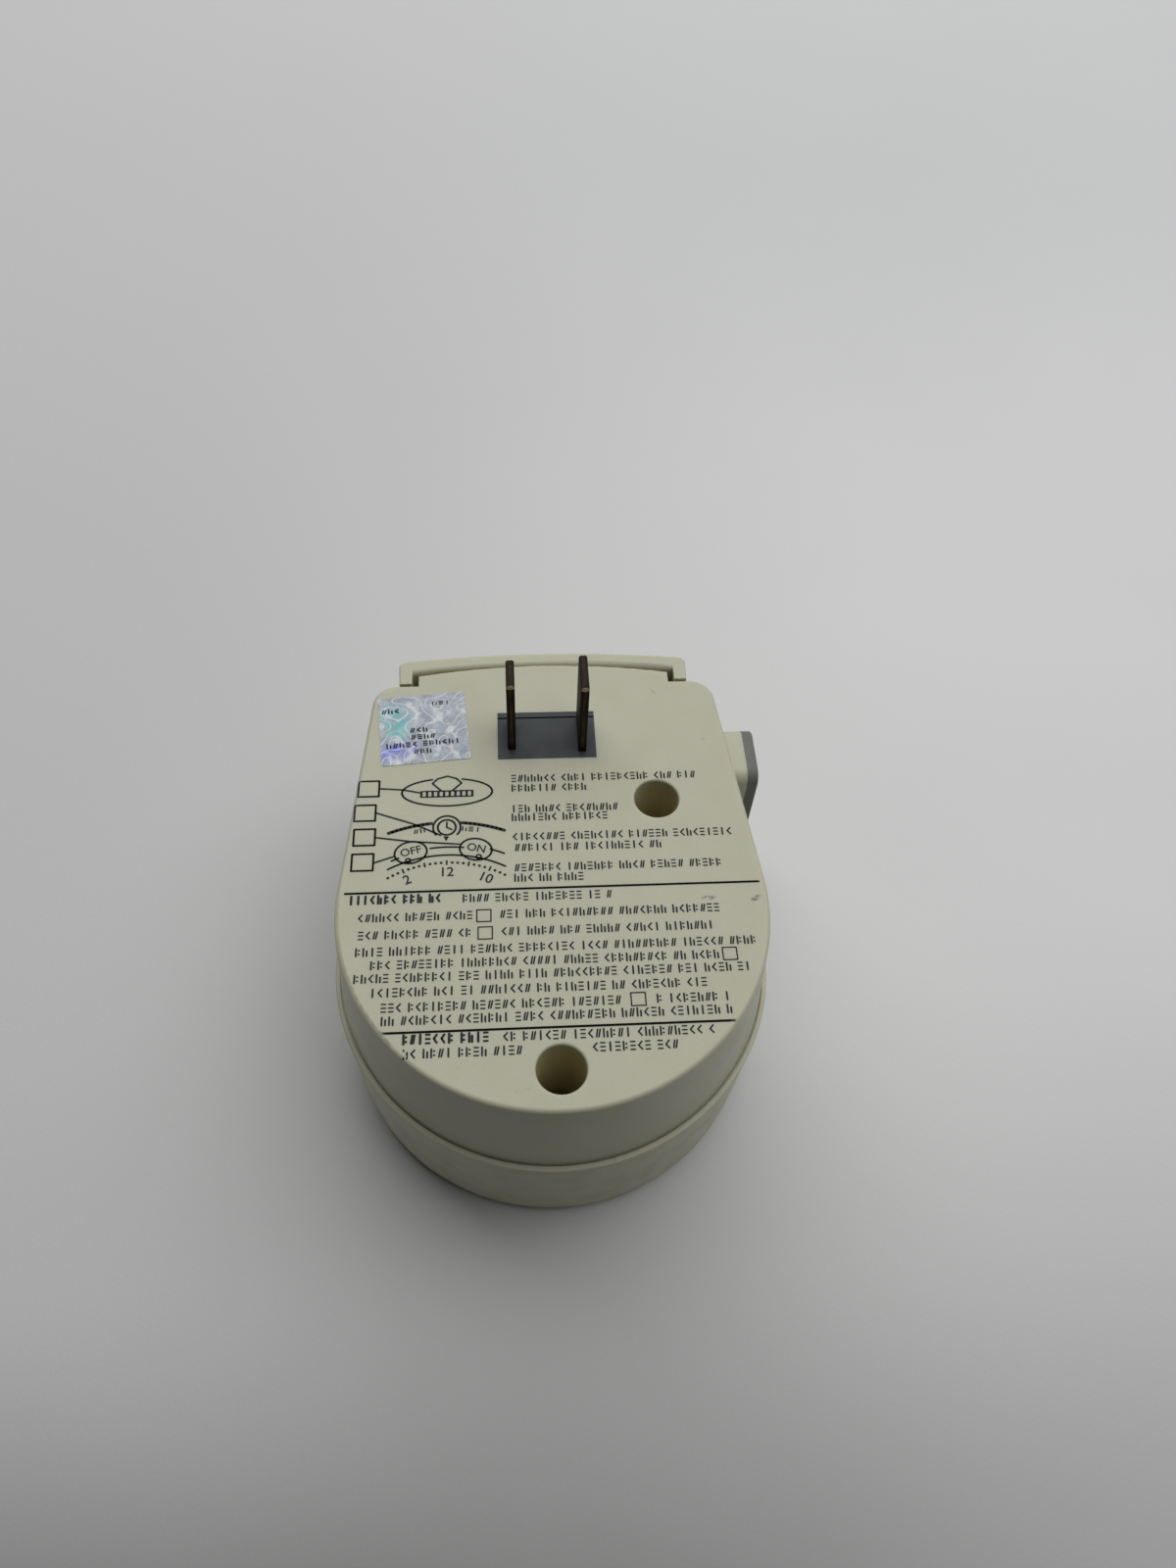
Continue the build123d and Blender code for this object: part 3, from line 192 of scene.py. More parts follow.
plasticGrain = {
    "clouds": {"low": 0.35, "high": 0.7},
    "specks": {"low": 0.66, "high": 0.74, "detail": 1},
    "polish": {"size": 6, "low": 0.3, "high": 0.7},
    "grain": {"low": 0.2, "high": 0.8, "detail": 2},
    "smoother": 0.06,
    "rougher": 0.08,
    "glowByColour": (1, 0.8, 0.4),
}
metalGrain = {
    "streaks": {"low": 0.3, "high": 0.75, "detail": 4},
    "spots": {"low": 0.58, "high": 0.68},
    "rougher": 0.2,
}


def mouldedFinish(name, look):
    # moulded plastic: faint clouds of another tone, fine specks and a fine texture
    finish = startFinish(name, look)
    glow = {"Subsurface Weight": look.get("glow", 0), "Subsurface Scale": look.get("glowReach", 1) * mm}
    glow["Subsurface Radius"] = plasticGrain["glowByColour"]
    setInputs(finish, shaderOf(finish), glow)
    clouds = noiseMask(finish, look["cloudSize"], **plasticGrain["clouds"])
    specks = noiseMask(finish, look["speckSize"], **plasticGrain["specks"])
    tintOver(finish, look["cloud"], clouds, look["cloudAmount"])
    tintOver(finish, look["speck"], specks, look["speckAmount"])
    low, high = look["rough"] - plasticGrain["smoother"], look["rough"] + plasticGrain["rougher"]
    variedRough(finish, noiseMask(finish, **plasticGrain["polish"]), low, high)
    addBump(finish, noiseMask(finish, look["grainSize"], **plasticGrain["grain"]), look["grainDepth"])
    return finish


def metalFinish(name, look):
    # drawn or rolled metal: streaks along one direction, dull spots and a stain
    finish = startFinish(name, look)
    streaks = noiseMask(finish, look["streakSize"], stretch=look["streak"], **metalGrain["streaks"])
    tintOver(finish, look["stain"], streaks, look["stainAmount"])
    spots = noiseMask(finish, look["spotSize"], **metalGrain["spots"])
    tintOver(finish, look["spot"], spots, look["spotAmount"])
    variedRough(finish, streaks, look["rough"], look["rough"] + metalGrain["rougher"])
    addBump(finish, streaks, look["grainDepth"])
    return finish


# Cream shell, with the time pointer printed on its bezel

shellLook = {
    "colour": (185, 184, 162),
    "cloud": (180, 178, 155),
    "cloudSize": 22,
    "cloudAmount": 0.4,
    "speck": (118, 112, 92),
    "speckSize": 0.55,
    "speckAmount": 0.12,
    "grainSize": 0.35,
    "grainDepth": 0.012,
    "rough": 0.42,
    "shine": 0.42,
    "glow": 0.35,
    "glowReach": 2.6,
    "worn": {"size": 0.9, "low": 0.35, "high": 0.6, "detail": 2},
    # darker patches on the near lower walls of the shell
    "lowerWallTint": (150, 143, 118),
    "lowerWallPatches": {"size": 4, "low": 0.42, "high": 0.68, "detail": 5},
    "lowerWallAmount": 0.3,
    "lowerWallRise": (-46, -43),
    "lowerWallReach": (14, -14),
    "seamLevel": -20.7,
    "bezelLevel": -46.0,
    "pointer": (34, 33, 30),
    "pointerTip": -3.45,
    "pointerTop": -2.0,
    "pointerSlope": 0.62,
}
scuffs = [  # centre, half size, turn, colour, amount
    ((25.9, -35.1, 0), (1.6, 0.6, 0.6), -2, (98, 94, 84), 0.8),
    ((33.8, -35.4, 0), (1.3, 0.55, 0.8), 28, (92, 86, 74), 0.9),
    ((8.3, -71.6, -20.1), (0.8, 0.7, 1.0), 10, (96, 86, 66), 0.5),
    ((-10.8, -70.8, -41.1), (1.3, 1.0, 0.6), 0, (150, 88, 60), 0.6),
    ((20.4, 9.8, 0), (0.4, 0.9, 0.5), 30, (128, 122, 104), 0.45),
    ((28.7, -1.7, 0), (0.5, 0.35, 0.5), 0, (112, 106, 90), 0.4),
    ((-6.0, -67.0, 0), (1.6, 0.25, 0.5), 12, (140, 134, 116), 0.4),
]


def creamFinish():
    look = shellLook
    finish = mouldedFinish("creamPlastic", look)
    worn = noiseMask(finish, **look["worn"])
    for centre, size, turn, colour, amount in scuffs:
        spot = product(finish, patchMask(finish, centre, size, turn), worn)
        tintOver(finish, colour, spot, amount)
    axes = axesOf(finish, placeOf(finish))
    # darker patches on the deep lower shell, none on its front face and fewer towards the end wall
    belowSeam = mathNode(finish, "LESS_THAN", axes["Z"], look["seamLevel"] * mm)
    offFace = product(finish, belowSeam, slopeMask(finish, "Z", *look["lowerWallRise"]))
    nearEnd = product(finish, offFace, slopeMask(finish, "Y", *look["lowerWallReach"]))
    lowerWallTint = product(finish, noiseMask(finish, **look["lowerWallPatches"]), nearEnd)
    tintOver(finish, look["lowerWallTint"], lowerWallTint, look["lowerWallAmount"])
    # the pointer, a small triangle over the dial
    across = mathNode(finish, "ABSOLUTE", axes["X"])
    up = mathNode(finish, "SUBTRACT", axes["Y"], look["pointerTip"] * mm)
    side = mathNode(finish, "SUBTRACT", product(finish, up, look["pointerSlope"]), across)
    top = mathNode(finish, "SUBTRACT", look["pointerTop"] * mm, axes["Y"])
    inside = mathNode(finish, "GREATER_THAN", mathNode(finish, "MINIMUM", side, top), 0)
    onBezel = mathNode(finish, "LESS_THAN", axes["Z"], look["bezelLevel"] * mm)
    tintOver(finish, look["pointer"], product(finish, inside, onBezel))
    return finish


# Grey insert and the plate of the side outlet

greyLook = {
    "colour": (60, 64, 66),
    "cloud": (51, 55, 57),
    "cloudSize": 5,
    "cloudAmount": 0.6,
    "speck": (92, 91, 86),
    "speckSize": 0.4,
    "speckAmount": 0.2,
    "grainSize": 0.25,
    "grainDepth": 0.015,
    "rough": 0.5,
    "shine": 0.2,
    "smudge": (84, 84, 79),
    "smudges": {"size": 1.6, "low": 0.6, "high": 0.72, "detail": 5},
    "smudgeAmount": 0.25,
}


def greyFinish():
    finish = mouldedFinish("greyPlastic", greyLook)
    tintOver(finish, greyLook["smudge"], noiseMask(finish, **greyLook["smudges"]), greyLook["smudgeAmount"])
    return finish


# Dial, tabs, wheel and the plastics inside

dialLook = {
    "colour": (226, 224, 214),
    "cloud": (214, 211, 196),
    "cloudSize": 14,
    "cloudAmount": 0.5,
    "speck": (150, 144, 126),
    "speckSize": 0.5,
    "speckAmount": 0.12,
    "grainSize": 0.3,
    "grainDepth": 0.01,
    "rough": 0.4,
}
faceLook = dict(dialLook, colour=(232, 230, 220), rough=0.36)
bandLook = {
    "centre": (0, -34.7, -45.5),
    "inner": 14.2,
    "outer": 16.4,
    "day": (196, 206, 214),
    "dayAmount": 0.75,
    "night": (44, 52, 70),
}
greenLook = dict(dialLook, colour=(46, 122, 74), cloud=(38, 106, 62), speck=(150, 180, 150))
redLook = dict(dialLook, colour=(178, 48, 40), cloud=(156, 40, 34), speck=(220, 150, 140))
blackLook = dict(dialLook, colour=(42, 42, 44), cloud=(34, 34, 36), speck=(110, 106, 96), rough=0.5)
nylonLook = dict(dialLook, colour=(216, 210, 190), cloud=(204, 196, 170), rough=0.48)
bobbinLook = dict(dialLook, colour=(54, 60, 66), cloud=(46, 50, 56), speck=(90, 92, 92))
phenolicLook = dict(dialLook, colour=(96, 62, 40), cloud=(80, 50, 32), speck=(146, 110, 78), rough=0.6)
phenolicLook["cloudSize"] = 2
leadBlackLook = dict(dialLook, colour=(36, 36, 38), cloud=(30, 30, 32), speck=(90, 88, 84), rough=0.55)
leadWhiteLook = dict(dialLook, colour=(220, 218, 208), cloud=(206, 202, 188), rough=0.55)
ferriteLook = dict(dialLook, colour=(58, 56, 56), cloud=(48, 46, 46), speck=(100, 96, 92), rough=0.7)
ferriteLook["grainDepth"] = 0.03


def faceFinish():
    # the day and night halves are a pale and a dark ring printed on the dial face
    look = bandLook
    finish = mouldedFinish("dialFacePlastic", faceLook)
    toCentre = [-value * mm for value in look["centre"]]
    shift = addNode(finish, "Mapping", {"Vector": placeOf(finish), "Location": toCentre})
    fromCentre = shift.outputs["Vector"]
    reach = lengthOf(finish, fromCentre)
    past = mathNode(finish, "GREATER_THAN", reach, look["inner"] * mm)
    before = mathNode(finish, "LESS_THAN", reach, look["outer"] * mm)
    ring = product(finish, past, before)
    night = mathNode(finish, "LESS_THAN", axesOf(finish, fromCentre)["Y"], 0)
    tintOver(finish, look["day"], ring, look["dayAmount"])
    tintOver(finish, look["night"], product(finish, ring, night))
    return finish


# Metals

brassLook = {
    "colour": (22, 18, 13),
    "rough": 0.46,
    "metal": 0.25,
    "shine": 0.12,
    "streakSize": 0.9,
    "streak": (1, 1, 0.15),
    "stain": (20, 17, 13),
    "stainAmount": 0.75,
    "spot": (13, 11, 9),
    "spotSize": 1.1,
    "spotAmount": 0.6,
    "grainDepth": 0.01,
}
bladeWearAndSheen = {
    "offset": 6.35,
    "seam": (84, 62, 38),
    "seamHalf": 0.28,
    "seamPatches": {"size": 1.4, "low": 0.4, "high": 0.6, "stretch": (1, 1, 0.4)},
    "seamAmount": 0.8,
    # painted glint: a bright spot on the near top corner of each blade tip
    "glint": (236, 214, 180),
    "glintCorners": [(-6.35, -3.0, 17.1), (6.35, -3.8, 17.1)],
    "glintSize": (0.9, 0.45, 0.45),
    # painted highlight on the lit top of each blade
    "top": (29, 21, 11),
    "litTopRise": (16.9, 17.2),
    "litTopAmount": 0.75,
}
clipLook = dict(brassLook, colour=(196, 160, 96), stain=(168, 132, 76), spot=(140, 108, 62))
clipLook |= {"metal": 1, "stainAmount": 0.5}
silverLook = dict(clipLook, colour=(214, 212, 206), stain=(186, 184, 178), spot=(150, 146, 138))
silverLook["streak"] = (1, 1, 1)
steelLook = dict(clipLook, colour=(172, 174, 174), stain=(150, 152, 152), spot=(128, 128, 126), rough=0.38)
pinLook = dict(steelLook, colour=(186, 188, 188), rough=0.28)
springLook = dict(steelLook, colour=(150, 152, 156), rough=0.3)
copperLook = dict(clipLook, colour=(172, 92, 54), stain=(140, 66, 38), spot=(112, 54, 34), rough=0.36)
# the groove colour is painted shade between the turns of wire
windingLook = {"ringSize": 0.7536, "waver": 0.6, "groove": (84, 40, 26), "amount": 0.45, "depth": 0.08}


def bladeFinish():
    # tarnished brass with a browner seam on the near edge, a painted glint on each tip's near corner and a
    # painted highlight on each blade's top
    look = bladeWearAndSheen
    finish = metalFinish("tarnishedBrassAndSheen", brassLook)
    across = mathNode(finish, "ABSOLUTE", axesOf(finish, placeOf(finish))["X"])
    offMiddle = mathNode(finish, "ABSOLUTE", mathNode(finish, "SUBTRACT", across, look["offset"] * mm))
    seam = mathNode(finish, "LESS_THAN", offMiddle, look["seamHalf"] * mm)
    worn = product(finish, seam, noiseMask(finish, **look["seamPatches"]))
    tintOver(finish, look["seam"], worn, look["seamAmount"])
    # painted glints on the near top corners
    for corner in look["glintCorners"]:
        tintOver(finish, look["glint"], patchMask(finish, corner, look["glintSize"]))
    # painted highlight: the top of each blade, which faces the lamp, is a lighter brown than its sides
    tintOver(finish, look["top"], slopeMask(finish, "Z", *look["litTopRise"]), look["litTopAmount"])
    return finish


def coilFinish():
    look = windingLook
    finish = metalFinish("windingCopper", copperLook)
    values = {"Vector": placeOf(finish), "Scale": 1 / (look["ringSize"] * mm)}
    rings = addNode(finish, "TexWave", values | {"Distortion": look["waver"]})
    rings.bands_direction = "Z"
    # painted shade in the grooves between the turns
    tintOver(finish, look["groove"], rings.outputs["Fac"], look["amount"])
    addBump(finish, rings.outputs["Fac"], look["depth"])
    return finish


# Foil of the label

foilLook = {
    "colour": (160, 167, 174),
    "rough": 0.46,
    "metal": 0.2,
    "shine": 0.3,
    "curls": {"size": 5.0, "low": 0.2, "high": 0.8, "detail": 0.5},
    "curlCount": 5.0,
    "curlLine": 0.07,
    "curlEdge": 1.6,
    "curl": (222, 225, 224),
    "curlAmount": 0.55,
    "curlRough": (0.42, 0.58),
    "grainDepth": 0.02,
}
# centre, half size, turn and how soft
# painted rainbow sheen: the ovals where the teal and violet tints lie
tealSheenOval = ((-27.4, 3.4, 0), (3.6, 5.6, 2), 10, 0.6)
violetSheenOval = ((-27.2, -3.0, 0), (4.6, 2.6, 2), 20, 0.6)
foilTints = [  # colour, amount, patches, and the oval that they keep to
    ((124, 130, 140), 0.6, {"size": 2.6, "low": 0.42, "high": 0.6}, None),
    ((108, 114, 140), 0.4, {"size": 0.45, "low": 0.52, "high": 0.6, "detail": 1}, None),
    ((206, 210, 210), 0.6, {"size": 3.4, "low": 0.54, "high": 0.64, "stretch": (1.2, 1, 1)}, None),
    ((92, 164, 164), 0.85, {"size": 1.8, "low": 0.36, "high": 0.56}, tealSheenOval),
    ((98, 100, 206), 0.85, {"size": 1.7, "low": 0.36, "high": 0.56}, violetSheenOval),
    ((150, 190, 200), 0.4, {"size": 4.2, "low": 0.6, "high": 0.7}, None),
]


def foilFinish():
    # silver foil with a pressed pattern of curls that takes pale colours, and a painted rainbow sheen in
    # two ovals
    look = foilLook
    finish = startFinish("pressedFoil", look)
    curls = noiseMask(finish, **look["curls"])
    fold = mathNode(finish, "PINGPONG", product(finish, curls, look["curlCount"]), 0.5)
    lines = mapNode(finish, fold, look["curlLine"] * look["curlEdge"], look["curlLine"])
    for colour, amount, patches, oval in foilTints:
        mask = noiseMask(finish, **patches)
        if oval:
            mask = product(finish, patchMask(finish, *oval), mask)
        tintOver(finish, colour, mask, amount)
    tintOver(finish, look["curl"], lines, look["curlAmount"])
    variedRough(finish, lines, *look["curlRough"])
    addBump(finish, lines, look["grainDepth"])
    return finish


# Printing ink

inkLook = {
    "colour": (26, 26, 25),
    "rough": 0.6,
    "shine": 0.2,
    "worn": (66, 65, 58),
    "wornAmount": 0.6,
    "wear": {"size": 0.7, "low": 0.5, "high": 0.72, "detail": 4},
    "grain": {"size": 0.12, "low": 0.2, "high": 0.8, "detail": 2},
    "grainDepth": 0.006,
}
paleInkLook = dict(inkLook, colour=(232, 232, 226), worn=(206, 204, 192))


def inkFinish(name, look):
    # thin ink that lets the plastic show where it has worn
    finish = startFinish(name, look)
    tintOver(finish, look["worn"], noiseMask(finish, **look["wear"]), look["wornAmount"])
    addBump(finish, noiseMask(finish, **look["grain"]), look["grainDepth"])
    return finish


# the screw wells are painted warmer: a painted glow of light through the plastic
wellGlowLook = dict(shellLook, colour=(190, 180, 140), cloud=(182, 170, 128), rough=0.5)
plateLook = dict(greyLook, colour=(112, 113, 107), cloud=(102, 103, 97), speck=(146, 143, 132))

finishes = {
    "cream_shell": creamFinish(),
    "grey_insert": greyFinish(),
    "blade_brass": bladeFinish(),
    "clip_brass": metalFinish("clipBrass", clipLook),
    "contact_silver": metalFinish("contactSilver", silverLook),
    "dial_white": mouldedFinish("dialPlastic", dialLook),
    "dial_print": faceFinish(),
    "on_green": mouldedFinish("greenPlastic", greenLook),
    "off_red": mouldedFinish("redPlastic", redLook),
    "wheel_black": mouldedFinish("blackPlastic", blackLook),
    "gear_nylon": mouldedFinish("gearNylon", nylonLook),
    "plate_steel": metalFinish("platedSteel", steelLook),
    "pin_steel": metalFinish("turnedSteel", pinLook),
    "spring_steel": metalFinish("springSteel", springLook),
    "coil_copper": coilFinish(),
    "bobbin_plastic": mouldedFinish("bobbinPlastic", bobbinLook),
    "block_phenolic": mouldedFinish("contactBlockPhenolic", phenolicLook),
    "rotor_ferrite": mouldedFinish("rotorFerrite", ferriteLook),
    "lead_black": mouldedFinish("blackLeadSleeve", leadBlackLook),
    "lead_white": mouldedFinish("whiteLeadSleeve", leadWhiteLook),
    "foil_silver": foilFinish(),
}
darkInk = inkFinish("printingInk", inkLook)
paleInk = inkFinish("paleInk", paleInkLook)
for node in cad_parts.values():
    for holder in node.material_slots:
        holder.material = finishes[holder.material.name]
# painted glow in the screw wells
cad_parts["screw_wells"].material_slots[0].material = mouldedFinish("wellPlasticPaintedGlow", wellGlowLook)
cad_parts["outlet_block"].material_slots[0].material = mouldedFinish("platePlastic", plateLook)
print("finishes made:", len(finishes))

# Helpers for modelling


def selectAll():
    bpy.ops.mesh.select_all(action="SELECT")


def beginSelecting(kind):
    setMode("EDIT")
    bpy.ops.mesh.select_mode(type=kind)
    bpy.ops.mesh.select_all(action="DESELECT")
    setMode("OBJECT")


def selectFaces(piece, test):
    # picks faces in edit mode by their normal and area
    beginSelecting("FACE")
    for face in piece.data.polygons:
        face.select = test(face)
    setMode("EDIT")


def selectEdges(piece, test):
    # picks edges in edit mode by their two ends
    beginSelecting("EDGE")
    corners = piece.data.vertices
    for edge in piece.data.edges:
        edge.select = test(*(corners[index].co for index in edge.vertices))
    setMode("EDIT")


def upright(first, second):
    # whether an edge between these two points stands along Z
    return abs(first.x - second.x) < 1e-6 and abs(first.y - second.y) < 1e-6


def addBlock(name, low, high):
    # a box between two corners, with its place in its mesh
    clearSelection()
    low, high = Vector(low), Vector(high)
    bpy.ops.mesh.primitive_cube_add(size=1, location=(low + high) / 2, scale=high - low)
    block = bpy.context.object
    block.name = name
    bpy.ops.object.transform_apply()
    return block


def bevelEdges(piece, width, steps):
    # rounds every edge where the faces turn by over 30 degrees
    rounding = piece.modifiers.new("rounding", "BEVEL")
    rounding.width = width * mm
    rounding.segments = steps
    rounding.limit_method = "ANGLE"
    rounding.angle_limit = math.radians(30)
    bpy.context.view_layer.objects.active = piece
    bpy.ops.object.modifier_apply(modifier=rounding.name)


def smoothPiece(piece, angle):
    clearSelection()
    piece.select_set(True)
    bpy.context.view_layer.objects.active = piece
    bpy.ops.object.shade_smooth_by_angle(angle=math.radians(angle))


def giveFinish(piece, finish, body):
    piece.data.materials.clear()
    piece.data.materials.append(finish)
    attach(piece, body)


# Plug blades, with a rounded tip and a shallow seam along each edge

bladeLook = {
    "tipRadius": 0.55,
    "tipSteps": 4,
    "seamInset": 0.5,
    "seamDepth": 0.14,
    "edge": 0.3,
    "edgeSteps": 3,
    "smoothAngle": 35,
}


def makeBlade(name, node):
    look = bladeLook
    low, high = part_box(node)
    blade = addBlock(name, low, high)
    selectEdges(blade, lambda a, b: min(a.z, b.z) > high.z - mm and abs(a.y - b.y) < 1e-6)
    bpy.ops.mesh.bevel(offset=look["tipRadius"] * mm, segments=look["tipSteps"])
    selectFaces(blade, lambda face: abs(face.normal.y) > 0.99 and face.area > 1e-5)
    bpy.ops.mesh.inset(thickness=look["seamInset"] * mm, depth=-look["seamDepth"] * mm, use_individual=True)
    setMode("OBJECT")
    bevelEdges(blade, look["edge"], look["edgeSteps"])
    smoothPiece(blade, look["smoothAngle"])
    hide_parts(node)
    giveFinish(blade, finishes["blade_brass"], "case")


makeBlade("narrowPlugBlade", "narrow_blade")
makeBlade("widePlugBlade", "wide_blade")
print("blades made")

# Return springs under the two tabs, each moving with its slider

springShape = {
    "radius": 1.5,
    "wire": 0.15,
    "turns": 3,
    "sides": 10,
    "steps": 28,
    "travel": 0.8,
    "smoothAngle": 60,
}


def makeSpring(name, node, body):
    look = springShape
    low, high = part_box(node)
    middle = (low + high) / 2
    wireRadius = look["wire"] * mm
    height = high.z - low.z
    clearSelection()
    bpy.ops.mesh.primitive_circle_add(
        vertices=look["sides"],
        radius=wireRadius,
        location=(look["radius"] * mm, 0, 0),
        rotation=(math.radians(90), 0, 0),
    )
    spring = bpy.context.object
    spring.name = name
    bpy.ops.object.transform_apply()
    coil = spring.modifiers.new("coil", "SCREW")
    coil.iterations = look["turns"]
    coil.screw_offset = (height - 2 * wireRadius) / look["turns"]
    coil.steps = look["steps"]
    coil.render_steps = look["steps"]
    bpy.ops.object.modifier_apply(modifier=coil.name)
    setMode("EDIT")
    selectAll()
    bpy.ops.mesh.fill_holes(sides=look["sides"])
    selectAll()
    bpy.ops.mesh.normals_make_consistent(inside=False)
    setMode("OBJECT")
    spring.data.transform(Matrix.Translation((middle.x, middle.y, low.z + wireRadius)))
    smoothPiece(spring, look["smoothAngle"])
    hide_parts(node)
    giveFinish(spring, finishes["spring_steel"], body)
    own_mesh(spring)


makeSpring("onTabSpring", "on_tab_spring", "on_slider")
makeSpring("offTabSpring", "off_tab_spring", "off_slider")
print("tab springs made")

# Foil label, a thin sheet with slight waves

labelLook = {
    "width": 15.9,
    "height": 15.6,
    "thick": 0.07,
    "place": (-22.35, 2.15, 0.01),
    "turn": 5.1,
    "corner": 0.5,
    "cornerSteps": 4,
    "cuts": 24,
    "wave": 0.05,
    "waveSize": 4.0,
    "waveMiddle": 0.2,
    "smoothAngle": 60,
}


def makeLabel():
    look = labelLook
    wide, tall = look["width"] / 2 * mm, look["height"] / 2 * mm
    label = addBlock("foilLabelSheet", (-wide, -tall, 0), (wide, tall, look["thick"] * mm))
    selectEdges(label, upright)
    bpy.ops.mesh.bevel(offset=look["corner"] * mm, segments=look["cornerSteps"])
    for step in range(1, look["cuts"]):
        for direction, reach in (((1, 0, 0), wide), ((0, 1, 0), tall)):
            offset = -reach + 2 * reach * step / look["cuts"]
            selectAll()
            bpy.ops.mesh.bisect(plane_co=Vector(direction) * offset, plane_no=direction)
    setMode("OBJECT")
    clouds = bpy.data.textures.new("labelWaves", "CLOUDS")
    clouds.noise_scale = look["waveSize"] * mm
    waves = label.modifiers.new("waves", "DISPLACE")
    waves.texture = clouds
    waves.direction = "Z"
    waves.mid_level = look["waveMiddle"]
    waves.strength = look["wave"] * mm
    bpy.ops.object.modifier_apply(modifier=waves.name)
    turn = Matrix.Rotation(math.radians(look["turn"]), 4, "Z")
    label.data.transform(Matrix.Translation([value * mm for value in look["place"]]) @ turn)
    smoothPiece(label, look["smoothAngle"])
    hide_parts("foil_label")
    giveFinish(label, finishes["foil_silver"], "case")


makeLabel()
print("label made")

# Print: one small block and one dot, copied many times

stampLook = {
    "thick": 0.03,
    "sink": 0.01,
    "corner": 0.16,
    "cornerSteps": 2,
    "dotSides": 16,
    "dotRim": 0.08,
    "overlap": 0.6,
    "capitalShare": 0.7,
    "curveSteps": 6,
}


def makeStampBlock():
    # a slab with rounded corners, one unit long, wide and thick
    block = addBlock("stampBlock", (-0.5, -0.5, -0.5), (0.5, 0.5, 0.5))
    selectEdges(block, upright)
    bpy.ops.mesh.bevel(offset=stampLook["corner"], segments=stampLook["cornerSteps"])
    setMode("OBJECT")
    return block


def makeStampDot():
    clearSelection()
    bpy.ops.mesh.primitive_cylinder_add(vertices=stampLook["dotSides"], radius=0.5, depth=1)
    dot = bpy.context.object
    dot.name = "stampDot"
    selectFaces(dot, lambda face: abs(face.normal.z) > 0.9)
    bpy.ops.mesh.inset(thickness=stampLook["dotRim"], depth=0)
    setMode("OBJECT")
    return dot


stampBlock = makeStampBlock()
stampDot = makeStampDot()


def printLevel(level, outward):
    # the middle of the ink on a face at this level
    return (level + outward * (stampLook["thick"] / 2 - stampLook["sink"])) * mm


def stampPlace(x, y, level, length, width, turn=0.0, outward=1):
    # where a mark sits: sizes in mm, outward is the way its face looks along Z
    move = Matrix.Translation((x * mm, y * mm, printLevel(level, outward)))
    spin = Matrix.Rotation(turn, 4, "Z")
    grow = Matrix.Diagonal((length * mm, width * mm, stampLook["thick"] * mm, 1))
    return move @ spin @ grow


def pathMarks(points, width, level=0.0, outward=1):
    # a drawn line as short slabs that meet end to end
    marks = []
    for (x0, y0), (x1, y1) in zip(points, points[1:]):
        length = math.hypot(x1 - x0, y1 - y0) + width * stampLook["overlap"]
        turn = math.atan2(y1 - y0, x1 - x0)
        marks.append(stampPlace((x0 + x1) / 2, (y0 + y1) / 2, level, length, width, turn, outward))
    return marks


def finePoints(points, step=0.3):
    # the same line in short runs, so that it can follow a rounded edge
    fine = [points[0]]
    for (x0, y0), (x1, y1) in zip(points, points[1:]):
        count = math.ceil(math.hypot(x1 - x0, y1 - y0) / step)
        for part in range(1, count + 1):
            share = part / count
            fine.append((x0 + (x1 - x0) * share, y0 + (y1 - y0) * share))
    return fine


def arcPoints(centre, radius, start, end, runs, flatten=1.0, tilt=0.0):
    # points on an arc, or on a flattened and tilted one
    points = []
    lean = math.radians(tilt)
    for step in range(runs + 1):
        angle = math.radians(start + (end - start) * step / runs)
        along, across = radius * math.cos(angle), radius * flatten * math.sin(angle)
        x = centre[0] + along * math.cos(lean) - across * math.sin(lean)
        y = centre[1] + along * math.sin(lean) + across * math.cos(lean)
        points.append((x, y))
    return points


def pointAround(centre, radius, degrees):
    angle = math.radians(degrees)
    return centre[0] + radius * math.cos(angle), centre[1] + radius * math.sin(angle)


def boxMarks(x, y, wide, tall, line):
    left, right, bottom, top = x - wide / 2, x + wide / 2, y - tall / 2, y + tall / 2
    corners = [(left, bottom), (right, bottom), (right, top), (left, top), (left, bottom)]
    return pathMarks(finePoints(corners), line)


def joinPieces(name, pieces):
    clearSelection()
    for piece in pieces:
        piece.select_set(True)
    bpy.context.view_layer.objects.active = pieces[0]
    bpy.ops.object.join()
    joined = bpy.context.view_layer.objects.active
    joined.name = name
    joined.data.name = name
    return joined


def stampMarks(base, places):
    # each copy has its own mesh
    copies = []
    for place in places:
        copy = base.copy()
        copy.data = base.data.copy()
        copy.data.transform(place)
        bpy.context.scene.collection.objects.link(copy)
        copies.append(copy)
    return copies


def textPiece(words, x, y, level, height, turn=0.0, outward=1, swell=0.02):
    # words as a thin solid, read from the side that outward says
    clearSelection()
    bpy.ops.object.text_add()
    text = bpy.context.object
    text.data.body = words
    text.data.align_x = "CENTER"
    text.data.align_y = "CENTER"
    text.data.size = height * mm / stampLook["capitalShare"]
    text.data.extrude = stampLook["thick"] / 2 * mm
    text.data.offset = height * swell * mm
    text.data.resolution_u = stampLook["curveSteps"]
    bpy.ops.object.convert(target="MESH")
    text = bpy.context.object
    setMode("EDIT")
    selectAll()
    bpy.ops.mesh.remove_doubles(threshold=1e-7)
    bpy.ops.mesh.normals_make_consistent(inside=False)
    setMode("OBJECT")
    face = Matrix.Identity(4) if outward > 0 else Matrix.Rotation(math.pi, 4, "Y")
    spin = Matrix.Rotation(math.radians(turn), 4, "Z")
    move = Matrix.Translation((x * mm, y * mm, printLevel(level, outward)))
    text.data.transform(move @ spin @ face)
    text.matrix_world = Matrix.Identity(4)
    return text


# Rows of instructions on the rear face, as plain strokes that spell nothing

